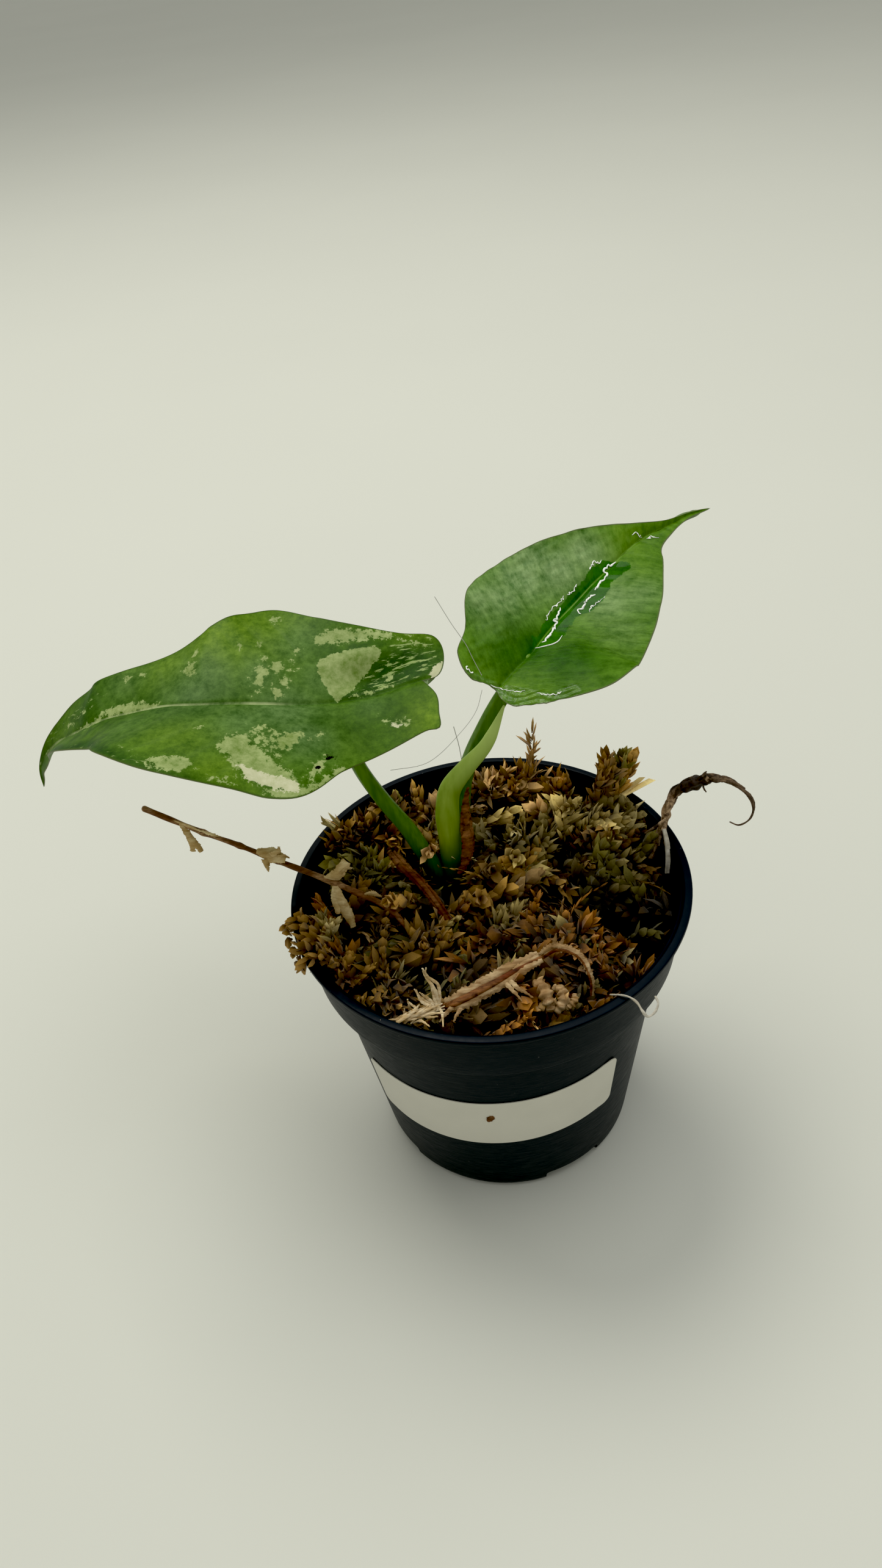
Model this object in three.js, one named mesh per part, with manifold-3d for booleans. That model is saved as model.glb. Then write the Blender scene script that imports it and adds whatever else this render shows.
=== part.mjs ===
// A young variegated alocasia in a round nursery pot, planted in long-fibre sphagnum moss.
// Millimetres, +Z up. The origin is the middle of the pot's flat foot, and the plain label
// faces -Y. Two peltate leaves stand on their stalks, one to the left and one to the right,
// with a furled new leaf between them. They all grow from a small corm inside the moss.

import * as THREE from 'three';
import { mergeVertices } from 'three/addons/utils/BufferGeometryUtils.js';
import Module from 'manifold-3d';

const wasm = await Module();
wasm.setup();

// Driving dimensions

const CLEARANCE = 0.3; // air between two pieces that rest on each other
const SEGMENTS = 48; // facets round the pot

const POT = {
  rimRadius: 54, // a 108 mm pot, measured over its lip
  height: 88.8,
  lipWidth: 2.2,
  lipHeight: 1.5,
  collarTop: 52, // outer radius of the collar under the lip
  collarBottom: 50.4,
  stepZ: 71.1, // the collar steps in to the body here
  bodyTop: 46.7,
  bodyBottom: 37.8,
  footRound: 3, // radius of the rounded foot edge
  wall: 1.2,
  base: 1.6,
};

const NOTCH = {
  count: 4, // drain notches round the foot
  firstAzimuth: 27.5, // degrees from the front, towards +X
  width: 18,
  height: 4.4,
  innerRadius: 28,
};

const LABEL = {
  fromAzimuth: -58.5,
  toAzimuth: 41.8,
  height: 22.3,
  middleZ: 39.3,
  slope: 0.063, // it is stuck on a little askew, its right end higher
  cornerRadius: 2.6,
  thickness: 0.6,
};

const MOSS = {
  level: 80, // mean height of its surface, a little below the rim
  lump: 2.6, // how far the surface rises and falls
  wallDip: 3.5, // it sinks this much where it meets the pot
  segments: 24, // facets round it, every second one of the pot's corners
  clumps: 36,
  leafletsInClump: 4,
  lie: { low: 0.35, high: 1.1 }, // how steeply its leaflets stand, as rise over run
  length: { low: 6.5, high: 10 },
  width: { low: 2.9, high: 4.1 },
  seed: 20417,
};

const LEAFLET = {
  sink: 1.5, // how deep a root lies in what it grows from
  apart: 2.3, // how far the roots in a clump stand from its middle
  flatness: 0.55,
  tip: 0.3, // radius of its blunt tip
};

const CORM = { x: -10.5, y: 17, z: 60, radius: 8, halfHeight: 9.5 };
const BLADE_THICKNESS = 0.8;
const BLADE_SPOKES = 22; // outline points on each half of a blade
const BLADE_RINGS = [0.25, 0.5, 0.7, 0.85, 0.93, 1];

// A blade is drawn flat, as points [along, across] from the place where its stalk is joined,
// along positive towards the tip, and is then bent over its midrib. The midrib runs from the
// notch between the two basal lobes to the drip tip. rise and twist are polynomials in
// along / 100, in radians: how far both halves rise like a shallow V, and how far the whole
// blade turns about its midrib.
const LEFT_BLADE = {
  midrib: [
    [-12.4, 23.0, 140.4], [-34.6, 19.5, 138.5], [-52.9, 16.1, 142.6], [-70.3, 15.7, 144.7],
    [-90.3, 21.0, 140.4], [-103.5, 23.3, 135.1], [-114.9, 30.0, 125.8], [-122.2, 32.3, 116.9],
    [-123.6, 32.5, 110.0],
  ],
  jointAt: 22.6, // from the notch end, along the midrib
  nearSide: [
    [-22.6, 0], [-25.1, 6.9], [-24.4, 13], [-23.4, 18], [-20, 17.4], [-10, 19.8], [2, 24.9],
    [14, 34.6], [26, 31.6], [38, 29.4], [50, 23.7], [62, 15.9], [72, 9.6], [82, 6.7], [90, 4.3],
    [97, 3], [107.5, 0],
  ],
  farSide: [
    [-22.6, 0], [-27.4, -0.7], [-30.2, -8], [-28.7, -15], [-20.8, -17], [-10, -22.1], [2, -27.8],
    [14, -34.2], [26, -31.4], [38, -25.4], [50, -19.8], [62, -15.6], [72, -14.2], [82, -11],
    [90, -4.6], [97, -1.6], [107.5, 0],
  ],
  twist: [-0.307, 0.276, 1.816, -2.741],
  rise: [0.217, 0.233, -0.244],
  arch: 0.0045, // each half bows down again towards its margin
  wave: { height: 1.6, length: 42, nearPhase: 0.6, farPhase: 2.4, atWidth: 32 },
};

const RIGHT_BLADE = {
  midrib: [
    [6.4, 19.0, 137.9], [17.1, 29.1, 143.0], [23.3, 37.3, 144.2], [37.5, 49.9, 150.4],
    [50.3, 60.7, 154.6], [57.2, 62.9, 156.3], [64.6, 67.1, 157.1], [71.1, 69.9, 156.9],
  ],
  jointAt: 15.6,
  nearSide: [
    [-15.6, 0], [-16.2, 2.8], [-18.1, 7.8], [-15, 14.1], [-8, 17.2], [0, 23.1], [8, 24.6],
    [16, 24.6], [24, 21.7], [32, 16.8], [40, 11.3], [48, 4.9], [56, 1.5], [70.8, 0],
  ],
  farSide: [
    [-15.6, 0], [-17.4, -4], [-16.8, -7.6], [-13.2, -12.4], [-8, -18], [0, -25.6], [8, -27.3],
    [16, -26.5], [24, -24.1], [32, -19.4], [40, -14], [48, -8.7], [56, -2.6], [70.8, 0],
  ],
  twist: [0.278, -0.609, 2.243],
  rise: [0.293, -0.284, 0.433],
  arch: 0.005,
  wave: { height: 1, length: 30, nearPhase: 0.3, farPhase: 1.9, atWidth: 25 },
};

// Stalks, twigs and strands follow [x, y, z] points with a radius at each.
const LEFT_STALK = {
  points: [
    [-13.2, 16.2, 64], [-15.2, 15.4, 80], [-18.2, 15.6, 89], [-21.4, 16.8, 96],
    [-26.4, 16.9, 106], [-31.6, 16.5, 119.5], [-34, 17.6, 131], [-34.6, 19.4, 140.5],
  ],
  radii: [3.1, 2.9, 2.5, 2.3, 2.15, 1.95, 1.75, 1.6],
};
const RIGHT_STALK = {
  points: [
    [-8.2, 20.6, 64], [-7, 22.4, 80], [-6, 26.5, 90], [-4.6, 29.4, 99], [-2.2, 29, 108],
    [2, 28, 118], [7.6, 27.4, 129], [13.2, 28, 137.5], [17.4, 29.6, 145],
  ],
  radii: [2.9, 2.8, 2.6, 2.4, 2.3, 2.3, 2.2, 2, 1.8],
};
const NEW_LEAF = {
  points: [
    [-10.4, 14.6, 67], [-10.1, 15.4, 80], [-9.7, 17.2, 90], [-9.6, 18, 99], [-8.2, 19, 106],
    [-3.4, 19, 113], [2.8, 18.6, 121], [8.2, 19.4, 132.5],
  ],
  radii: [2.6, 3, 3.7, 3.9, 3.5, 2.9, 2.2, 0.4],
  flatness: 0.5,
  facing: [0, -0.8, 0.6],
};
const TWIG = {
  points: [
    [-20, -13, 80.5], [-27, -7.6, 89], [-37.5, -3.6, 94], [-48, 0.6, 97.4], [-57.5, 4.6, 99.8],
    [-67, 8.2, 103], [-77, 12.6, 105], [-92, 16.6, 112],
  ],
  radii: [0.8, 1, 1, 1, 0.95, 1, 1.15, 1.3],
  bracts: [
    { at: [-77, 12.6, 105.2], to: [[-75, 10.6, 100.5], [-72.6, 8.8, 96]], width: 1.9 },
    { at: [-77, 12.6, 105.2], to: [[-77.6, 10, 100], [-78.2, 8.4, 96.5]], width: 1.3 },
    { at: [-70, 9.6, 104], to: [[-66, 7, 100.6], [-62, 5.4, 98.4]], width: 1.7 },
    { at: [-57.5, 4.6, 100], to: [[-55.6, 3.4, 102], [-52.4, 3.6, 103.4]], width: 2 },
    { at: [-57.5, 4.6, 100], to: [[-57, 2, 97], [-56, 0.6, 93.6]], width: 2.2 },
    { at: [-57.5, 4.6, 100], to: [[-59.6, 4.2, 102.4], [-60.4, 4.6, 104]], width: 1.5 },
  ],
};
const CURL = {
  points: [
    [45.6, 12, 80], [50.2, 15.8, 90], [52.2, 18.4, 94.6], [55, 20.4, 97.6], [60, 19.6, 100.4],
    [64.6, 16.8, 103.6], [70.4, 13.6, 103.2], [73, 10.6, 99], [72.4, 9.4, 94.6],
    [69.6, 9.8, 92.2], [66.8, 11.4, 92.4],
  ],
  radii: [1.5, 1.4, 1.3, 1.2, 1.5, 1.25, 1.1, 1.1, 1, 1, 0.8],
  fibres: [
    { at: [51, 16.8, 92], to: [[47.6, 13, 89.6], [44.6, 10, 87.2]], width: 0.8 },
    { at: [51, 16.8, 92], to: [[49.6, 11.4, 89.6], [48.6, 8, 88.6]], width: 0.8 },
    { at: [64.6, 16.8, 103.6], to: [[62.4, 17.4, 106], [60.8, 18, 107.4]], width: 1 },
  ],
};
const WHITE_STRAND = {
  points: [[49, 11.4, 91], [50, 8.4, 89.4], [49.9, 5, 85.6], [49.4, 3, 81]],
  radii: [0.6, 0.6, 0.6, 0.5],
};
const CROWN_STALK = {
  points: [[-26.6, 13.4, 90], [-24, 8.6, 89.6], [-19, 2.4, 88.4], [-14.6, -4, 86.4], [-11, -10, 83]],
  radii: [0.9, 1.2, 1.3, 1.1, 0.8],
};
const FRONT_STALK = {
  points: [
    [-14.6, -37.6, 84], [-11, -40.4, 87.2], [-3, -36.6, 88], [4, -33, 88.8], [11, -30.4, 90.4],
    [15.6, -31.6, 94.4], [20.4, -33.6, 93], [22.6, -37, 89], [22.6, -38.6, 84],
  ],
  radii: [1.4, 2, 1.9, 1.5, 1.1, 0.9, 0.8, 0.8, 0.7],
};

// Taller tufts of moss: where each is rooted, which way its leaflets lean and how far.
const TUFTS = [
  { at: [37, 28], lean: [0.02, 0.14, 1], reach: 31, spread: 0.3, count: 9, width: 4.6 },
  { at: [35, 29], lean: [0.42, 0.1, 1], reach: 33, spread: 0.2, count: 3, width: 3.8 },
  { at: [26, 22], lean: [0.2, -0.3, 0.8], reach: 15, spread: 0.9, count: 7, width: 3.2 },
  { at: [31, 20], lean: [0.9, -0.3, 0.75], reach: 19, spread: 0.25, count: 3, width: 4.2 },
  { at: [11, 42], lean: [-0.1, 0, 1], reach: 19, spread: 0.55, count: 6, width: 3.6 },
  { at: [20, 40], lean: [0.25, 0, 1], reach: 19, spread: 0.55, count: 6, width: 3.6 },
  { at: [15, 42], lean: [-0.02, 0.05, 1], reach: 27, spread: 0.1, count: 1, width: 2.6 },
  { at: [-2, 40], lean: [0.1, 0, 0.9], reach: 14, spread: 0.7, count: 4, width: 3.2 },
  { at: [-30, 24], lean: [-0.1, 0.1, 1], reach: 11, spread: 0.8, count: 4, width: 3.2 },
  { at: [-38, -12], lean: [-0.2, 0, 1], reach: 11, spread: 0.7, count: 5, width: 3.4 },
  { at: [-18, -38], lean: [0, -0.1, 1], reach: 12, spread: 0.8, count: 5, width: 2.8 },
];

// Sprigs that rise from the moss at the left and hang over the lip, as [radius, z] points.
const RIM_SPRIGS = {
  rise: [[43, 76], [47.6, 85.8], [51.2, 91.1]],
  past: 54.8, // radius where a sprig has passed over the lip
  each: [
    { azimuth: -83, top: 91.4, hang: 2.4 },
    { azimuth: -77, top: 92.4, hang: 4.6 },
    { azimuth: -72, top: 91.2, hang: 3.2 },
    { azimuth: -64, top: 91.8, hang: 4.8 },
    { azimuth: -57, top: 90.9, hang: 2.2 },
  ],
  radii: [1.6, 1.9, 2.1, 1.6, 0.5],
};

// Small helpers

const vector = ([x, y, z]) => new THREE.Vector3(x, y, z);
const radians = THREE.MathUtils.degToRad;

// Draws numbers from 0 to 1, the same ones each time for the same seed.
function randomFrom(seed) {
  let state = seed;
  return () => {
    state = (Math.imul(state, 1664525) + 1013904223) >>> 0;
    return state / 4294967296;
  };
}

// A point on the pot's outside at an azimuth in degrees from the front.
function roundPot(azimuth, radius, z) {
  const angle = radians(azimuth);
  return new THREE.Vector3(radius * Math.sin(angle), -radius * Math.cos(angle), z);
}

function geometryOf(points, triangles) {
  const geometry = new THREE.BufferGeometry();
  const position = new Float32Array(points.flatMap((p) => [p.x, p.y, p.z]));
  geometry.setAttribute('position', new THREE.BufferAttribute(position, 3));
  geometry.setIndex(triangles.flat());
  return geometry;
}

function solid(geometry) {
  const bare = geometry.clone();
  bare.deleteAttribute('normal');
  bare.deleteAttribute('uv');
  const merged = mergeVertices(bare, 1e-4);
  return new wasm.Manifold(new wasm.Mesh({
    numProp: 3,
    vertProperties: merged.attributes.position.array,
    triVerts: new Uint32Array(merged.index.array),
  }));
}

function geometryFromSolid(body) {
  const mesh = body.getMesh();
  const geometry = new THREE.BufferGeometry();
  const position = new Float32Array(mesh.vertProperties);
  geometry.setAttribute('position', new THREE.BufferAttribute(position, 3));
  geometry.setIndex(new THREE.BufferAttribute(new Uint32Array(mesh.triVerts), 1));
  return geometry;
}

const joined = (solids) => solids.reduce((sum, next) => sum.add(next));

// Cuts the tools away and keeps the biggest body, so that no loose scrap is left.
function cutClear(body, tools) {
  const bodies = body.subtract(joined(tools)).decompose();
  return bodies.reduce((a, b) => (a.volume() > b.volume() ? a : b));
}

// Stitches rings of equal length into a closed skin, with flat ends.
function skinOfRings(rings) {
  const sides = rings[0].length;
  const triangles = [];
  for (let r = 0; r + 1 < rings.length; r += 1) {
    for (let k = 0; k < sides; k += 1) {
      const next = (k + 1) % sides;
      const low = r * sides;
      const high = low + sides;
      triangles.push([low + k, low + next, high + next], [low + k, high + next, high + k]);
    }
  }
  const last = (rings.length - 1) * sides;
  for (let k = 1; k + 1 < sides; k += 1) {
    triangles.push([0, k + 1, k], [last, last + k, last + k + 1]);
  }
  return geometryOf(rings.flat(), triangles);
}

// A rod of changing thickness along a smooth curve. flatness squeezes it along facing, and
// grow makes it fatter and longer all round, for the hole that it stands in.
function rod(path, { sides = 8, steps = 12, flatness = 1, facing = [0.31, -0.9, 0.3], grow = 0 } = {}) {
  const curve = new THREE.CatmullRomCurve3(path.points.map(vector), false, 'centripetal');
  const front = vector(facing);
  const rings = [];
  for (let i = 0; i <= steps; i += 1) {
    const along = i / steps;
    const tangent = curve.getTangentAt(along);
    const centre = curve.getPointAt(along);
    if (i === 0) centre.addScaledVector(tangent, -grow);
    if (i === steps) centre.addScaledVector(tangent, grow);
    const wide = new THREE.Vector3().crossVectors(tangent, front).normalize();
    const deep = new THREE.Vector3().crossVectors(wide, tangent).normalize();
    const place = along * (path.radii.length - 1);
    const before = Math.min(Math.floor(place), path.radii.length - 2);
    const radius = THREE.MathUtils.lerp(path.radii[before], path.radii[before + 1], place - before);
    rings.push(Array.from({ length: sides }, (_, k) => {
      const angle = (k / sides) * 2 * Math.PI;
      return centre.clone()
        .addScaledVector(wide, Math.cos(angle) * (radius + grow))
        .addScaledVector(deep, -Math.sin(angle) * (radius * flatness + grow));
    }));
  }
  return skinOfRings(rings);
}

// The pot

function potProfile(grow = 0) {
  const { rimRadius, height, lipWidth, lipHeight, wall, base, footRound } = POT;
  const outside = [new THREE.Vector2(0, 0)];
  for (let i = 0; i <= 3; i += 1) {
    const turn = (i / 3) * (Math.PI / 2);
    const x = POT.bodyBottom - footRound + footRound * Math.sin(turn);
    outside.push(new THREE.Vector2(x, footRound - footRound * Math.cos(turn)));
  }
  outside.push(
    new THREE.Vector2(POT.bodyTop + grow, POT.stepZ - grow),
    new THREE.Vector2(POT.collarBottom + grow, POT.stepZ - grow),
    new THREE.Vector2(POT.collarTop + grow, height - lipHeight - grow),
    new THREE.Vector2(rimRadius + grow, height - lipHeight - grow),
    new THREE.Vector2(rimRadius + grow, height + grow),
  );
  const inside = [
    new THREE.Vector2(rimRadius - lipWidth - grow, height + grow),
    new THREE.Vector2(POT.collarTop - wall - grow, height - lipHeight * 0.7 - grow),
    new THREE.Vector2(POT.collarBottom - wall - grow, POT.stepZ + wall + grow),
    new THREE.Vector2(POT.bodyTop - wall - grow, POT.stepZ + wall / 2 + grow),
    new THREE.Vector2(POT.bodyBottom - wall - grow, footRound + base + grow),
    new THREE.Vector2(POT.bodyBottom - wall - footRound - grow, base + grow),
    new THREE.Vector2(0, base + grow),
  ];
  return [...outside, ...inside];
}

// A profile turned about Z instead of three's own Y axis.
function turned(profile) {
  return new THREE.LatheGeometry(profile, SEGMENTS).rotateX(Math.PI / 2);
}

function potGeometry() {
  const shell = solid(turned(potProfile()));
  const depth = POT.rimRadius - NOTCH.innerRadius;
  const notches = Array.from({ length: NOTCH.count }, (_, i) => {
    const azimuth = NOTCH.firstAzimuth + (i * 360) / NOTCH.count;
    const box = new THREE.BoxGeometry(NOTCH.width, depth, 2 * NOTCH.height);
    box.translate(0, -NOTCH.innerRadius - depth / 2, 0);
    return solid(box.rotateZ(radians(azimuth)));
  });
  return geometryFromSolid(shell.subtract(joined(notches)));
}

// The label, a thin plate with round corners that follows the body's taper

function bodyRadius(z) {
  const share = (z - POT.footRound) / (POT.stepZ - POT.footRound);
  return THREE.MathUtils.lerp(POT.bodyBottom, POT.bodyTop, share);
}

function labelGeometry() {
  const { fromAzimuth, toAzimuth, height, middleZ, slope, cornerRadius, thickness } = LABEL;
  const girth = bodyRadius(middleZ);
  const width = girth * radians(toAzimuth - fromAzimuth);
  const fromEnd = [0, 0.12, 0.4, 1].map((share) => share * cornerRadius);
  const middle = Array.from({ length: 22 }, (_, i) => (
    THREE.MathUtils.lerp(cornerRadius, width - cornerRadius, (i + 1) / 23)));
  const stations = [...fromEnd, ...middle, ...fromEnd.map((d) => width - d).reverse()];
  const rings = stations.map((along) => {
    const inCorner = Math.max(0, cornerRadius - Math.min(along, width - along));
    const cut = cornerRadius - Math.sqrt(cornerRadius ** 2 - inCorner ** 2);
    const half = height / 2 - cut;
    const azimuth = THREE.MathUtils.lerp(fromAzimuth, toAzimuth, along / width);
    const z = middleZ + slope * (along - width / 2);
    const back = (edge) => bodyRadius(edge) + CLEARANCE;
    return [
      roundPot(azimuth, back(z + half), z + half),
      roundPot(azimuth, back(z + half) + thickness, z + half),
      roundPot(azimuth, back(z - half) + thickness, z - half),
      roundPot(azimuth, back(z - half), z - half),
    ];
  });
  return skinOfRings(rings);
}

// The leaf blades

function polynomial(factors, x) {
  return factors.reduceRight((sum, factor) => sum * x + factor, 0);
}

// Bends a flat blade point over its midrib. lift moves it off the blade's middle surface.
function bentPoint(blade, curve, length, [along, across]) {
  const reach = THREE.MathUtils.clamp((along + blade.jointAt) / length, 0, 1);
  const tangent = curve.getTangentAt(reach);
  const past = along + blade.jointAt - reach * length;
  const middle = curve.getPointAt(reach).addScaledVector(tangent, past);
  const level = new THREE.Vector3(0, 0, 1).cross(tangent).normalize();
  const upright = new THREE.Vector3().crossVectors(tangent, level);
  const x = along / 100;
  const turn = polynomial(blade.twist, x);
  const side = level.clone().multiplyScalar(Math.cos(turn)).addScaledVector(upright, Math.sin(turn));
  const up = upright.multiplyScalar(Math.cos(turn)).addScaledVector(level, -Math.sin(turn));
  const rise = polynomial(blade.rise, x);
  const phase = across > 0 ? blade.wave.nearPhase : blade.wave.farPhase;
  const ripple = blade.wave.height * Math.sin((2 * Math.PI * along) / blade.wave.length + phase)
    * (across / blade.wave.atWidth) ** 2;
  const height = Math.abs(across) * Math.sin(rise) - blade.arch * across ** 2 + ripple;
  return middle.addScaledVector(side, across * Math.cos(rise)).addScaledVector(up, height);
}

function smoothOutline(points) {
  const flat = points.map(([along, across]) => new THREE.Vector3(along, across, 0));
  const curve = new THREE.CatmullRomCurve3(flat, false, 'centripetal');
  return curve.getSpacedPoints(BLADE_SPOKES).map((p) => [p.x, p.y]);
}

// The blade is a fan of spokes from the stalk's joint, in rings, the same on both faces.
function bladeGeometry(blade, thickness = BLADE_THICKNESS) {
  const curve = new THREE.CatmullRomCurve3(blade.midrib.map(vector), false, 'centripetal');
  const length = curve.getLength();
  const near = smoothOutline(blade.nearSide);
  const far = smoothOutline(blade.farSide);
  const outline = [...near, ...far.slice(1, -1).reverse()];
  const spokes = outline.length;
  const middle = [bentPoint(blade, curve, length, [0, 0])];
  BLADE_RINGS.forEach((share) => {
    outline.forEach(([along, across]) => {
      middle.push(bentPoint(blade, curve, length, [along * share, across * share]));
    });
  });
  const top = [];
  for (let k = 0; k < spokes; k += 1) {
    const next = (k + 1) % spokes;
    top.push([0, 1 + next, 1 + k]);
    for (let r = 0; r + 1 < BLADE_RINGS.length; r += 1) {
      const inner = 1 + r * spokes;
      const outer = inner + spokes;
      top.push([inner + k, inner + next, outer + next], [inner + k, outer + next, outer + k]);
    }
  }
  const skin = geometryOf(middle, top);
  skin.computeVertexNormals();
  const normals = skin.attributes.normal;
  const shifted = (amount) => middle.map((p, i) => (
    p.clone().addScaledVector(new THREE.Vector3().fromBufferAttribute(normals, i), amount)));
  const points = [...shifted(thickness / 2), ...shifted(-thickness / 2)];
  const under = middle.length;
  const bottom = top.map(([a, b, c]) => [under + a, under + c, under + b]);
  const edge = [];
  const rim = 1 + (BLADE_RINGS.length - 1) * spokes;
  for (let k = 0; k < spokes; k += 1) {
    const a = rim + k;
    const b = rim + ((k + 1) % spokes);
    edge.push([a, b, under + b], [a, under + b, under + a]);
  }
  return geometryOf(points, [...top, ...bottom, ...edge]);
}

// The corm inside the moss, with its main roots

function rootPaths() {
  const random = randomFrom(77);
  return Array.from({ length: 5 }, (_, i) => {
    const angle = (i / 5) * 2 * Math.PI + random() * 0.6;
    const reach = 15 + random() * 7;
    const deep = 34 + random() * 10;
    const outward = (share) => [
      CORM.x + Math.cos(angle) * (4 + reach * share),
      CORM.y + Math.sin(angle) * (4 + reach * share) * 0.8 - 8 * share,
      CORM.z - 2 - deep * share ** 1.4,
    ];
    return { points: [0, 0.3, 0.6, 0.85, 1].map(outward), radii: [1.5, 1.3, 1.1, 0.9, 0.6] };
  });
}

function cormSolid(grow = 0) {
  const ball = new THREE.SphereGeometry(1, 12, 8);
  const wide = CORM.radius + grow;
  ball.scale(wide, wide, CORM.halfHeight + grow).translate(CORM.x, CORM.y, CORM.z);
  const roots = rootPaths().map((path) => solid(rod(path, { sides: 4, steps: 5, grow })));
  return joined([solid(ball), ...roots]);
}

// Twigs with their dry bracts

function branched(path, twigs, options = {}) {
  const grow = options.grow ?? 0;
  const stem = solid(rod(path, { sides: 5, steps: 16, ...options }));
  const blades = twigs.map(({ at, to, width }) => (
    solid(rod(
      { points: [at, ...to], radii: [0.5, width / 2, 0.35] },
      { sides: 4, steps: 4, flatness: 0.55, grow },
    ))));
  return joined([stem, ...blades]);
}

// The moss

// Rises and falls over a few centimetres, from a handful of crossed waves.
function mossHeight(x, y) {
  const waves = Math.sin(x * 0.21 + 1.3) * Math.cos(y * 0.17 + 0.4)
    + 0.7 * Math.sin(x * 0.37 - y * 0.29 + 2.1)
    + 0.5 * Math.sin(x * 0.11 + y * 0.43);
  const fromWall = THREE.MathUtils.smoothstep(Math.hypot(x, y), 34, 49);
  const fromCrown = Math.hypot(x - CORM.x - 1, y - CORM.y + 3);
  const hollow = 7 * Math.exp(-((fromCrown / 8) ** 2));
  return MOSS.level + (MOSS.lump * waves) / 1.6 - MOSS.wallDip * fromWall - hollow;
}

function mossBed() {
  const wall = POT.wall + CLEARANCE;
  const outer = [
    [POT.bodyBottom - wall - POT.footRound, POT.base + CLEARANCE],
    [POT.bodyBottom - wall, POT.footRound + POT.base + CLEARANCE],
    [POT.bodyTop - wall, POT.stepZ + POT.wall / 2],
    [POT.collarBottom - wall, POT.stepZ + POT.wall + CLEARANCE],
  ];
  const ring = (radius, height) => Array.from({ length: MOSS.segments }, (_, k) => {
    const place = roundPot((k * 360) / MOSS.segments, radius, 0);
    place.z = height(place.x, place.y);
    return place;
  });
  const rings = outer.map(([radius, z]) => ring(radius, () => z));
  const rim = POT.collarBottom - POT.wall;
  [1, 0.9, 0.75, 0.6, 0.44, 0.27, 0.1].forEach((share) => rings.push(ring(rim * share, mossHeight)));
  return solid(skinOfRings(rings));
}

// One pointed leaflet from its root, three-sided.
function leaflet(root, direction, length, width, bend) {
  const along = direction.clone().normalize();
  const start = root.clone().addScaledVector(along, -LEAFLET.sink);
  const middle = root.clone().addScaledVector(along, length * 0.5);
  const tip = root.clone().addScaledVector(along, length).add(bend);
  const path = {
    points: [start, middle, tip].map((p) => p.toArray()),
    radii: [width * 0.36, width * 0.5, LEAFLET.tip],
  };
  return solid(rod(path, { sides: 3, steps: 2, flatness: LEAFLET.flatness }));
}

// Where a leaflet is rooted, a little way from the middle of its clump at a heading.
function rootAt([x, y], heading) {
  const rootX = x + Math.cos(heading) * LEAFLET.apart;
  const rootY = y + Math.sin(heading) * LEAFLET.apart;
  return new THREE.Vector3(rootX, rootY, mossHeight(rootX, rootY));
}

// Clumps laid out like the seeds of a sunflower, each leaning in a little towards the plant.
function surfaceLeaflets(random) {
  const between = ({ low, high }) => THREE.MathUtils.lerp(low, high, random());
  const goldenAngle = Math.PI * (3 - Math.sqrt(5));
  const reach = POT.collarBottom - POT.wall - 3;
  const leaflets = [];
  for (let i = 0; i < MOSS.clumps; i += 1) {
    const radius = reach * Math.sqrt((i + 0.5) / MOSS.clumps);
    const angle = i * goldenAngle + random() * 0.35;
    const middle = [radius * Math.cos(angle), radius * Math.sin(angle)];
    const facing = random() * 2 * Math.PI;
    for (let k = 0; k < MOSS.leafletsInClump; k += 1) {
      const heading = facing + (k / MOSS.leafletsInClump) * 2 * Math.PI + random() * 0.7;
      const direction = new THREE.Vector3(Math.cos(heading), Math.sin(heading), between(MOSS.lie));
      direction.x -= (middle[0] / reach) * 0.5;
      direction.y -= (middle[1] / reach) * 0.5;
      const bend = new THREE.Vector3(random() - 0.5, random() - 0.5, random() - 0.7);
      bend.multiplyScalar(2.5);
      const root = rootAt(middle, heading);
      leaflets.push(leaflet(root, direction, between(MOSS.length), between(MOSS.width), bend));
    }
  }
  return leaflets;
}

function tuftLeaflets(random) {
  return TUFTS.flatMap(({ at, lean, reach, spread, count, width }) => (
    Array.from({ length: count }, (_, k) => {
      const heading = (k / count) * 2 * Math.PI + random();
      const off = spread * (0.35 + 0.65 * random());
      const direction = vector(lean).normalize();
      direction.x += Math.cos(heading) * off;
      direction.y += Math.sin(heading) * off;
      const length = reach * (0.6 + 0.4 * random());
      const bend = new THREE.Vector3(random() - 0.5, random() - 0.5, -random()).multiplyScalar(3);
      return leaflet(rootAt(at, heading), direction, length, width * (0.8 + 0.4 * random()), bend);
    })));
}

function rimSprigs(random) {
  return RIM_SPRIGS.each.map(({ azimuth, top, hang }) => {
    const profile = [
      ...RIM_SPRIGS.rise,
      [RIM_SPRIGS.past, top],
      [RIM_SPRIGS.past + 1, top - hang],
    ];
    const points = profile.map(([radius, z]) => (
      roundPot(azimuth + (random() - 0.5) * 5, radius, z).toArray()));
    return solid(rod({ points, radii: RIM_SPRIGS.radii }, { sides: 4, steps: 7, flatness: 0.7 }));
  });
}

// Everything that stands in the moss, made fatter by the clearance, to cut its holes

const stalkShape = { sides: 8, steps: 14 };
const leafShape = { sides: 8, steps: 14, flatness: NEW_LEAF.flatness, facing: NEW_LEAF.facing };
const stickShape = { sides: 5, steps: 12 };
const grown = (shape) => ({ ...shape, grow: CLEARANCE });

const fatPot = solid(turned(potProfile(CLEARANCE)));
const fatCorm = cormSolid(CLEARANCE);
const fatNewLeaf = solid(rod(NEW_LEAF, grown(leafShape)));
const fatLeftStalk = solid(rod(LEFT_STALK, grown(stalkShape)));
const fatLeftBlade = solid(bladeGeometry(LEFT_BLADE, BLADE_THICKNESS + 2 * CLEARANCE));
const fatRightBlade = solid(bladeGeometry(RIGHT_BLADE, BLADE_THICKNESS + 2 * CLEARANCE));
const fatCrownStalk = solid(rod(CROWN_STALK, grown(stickShape)));

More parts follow.
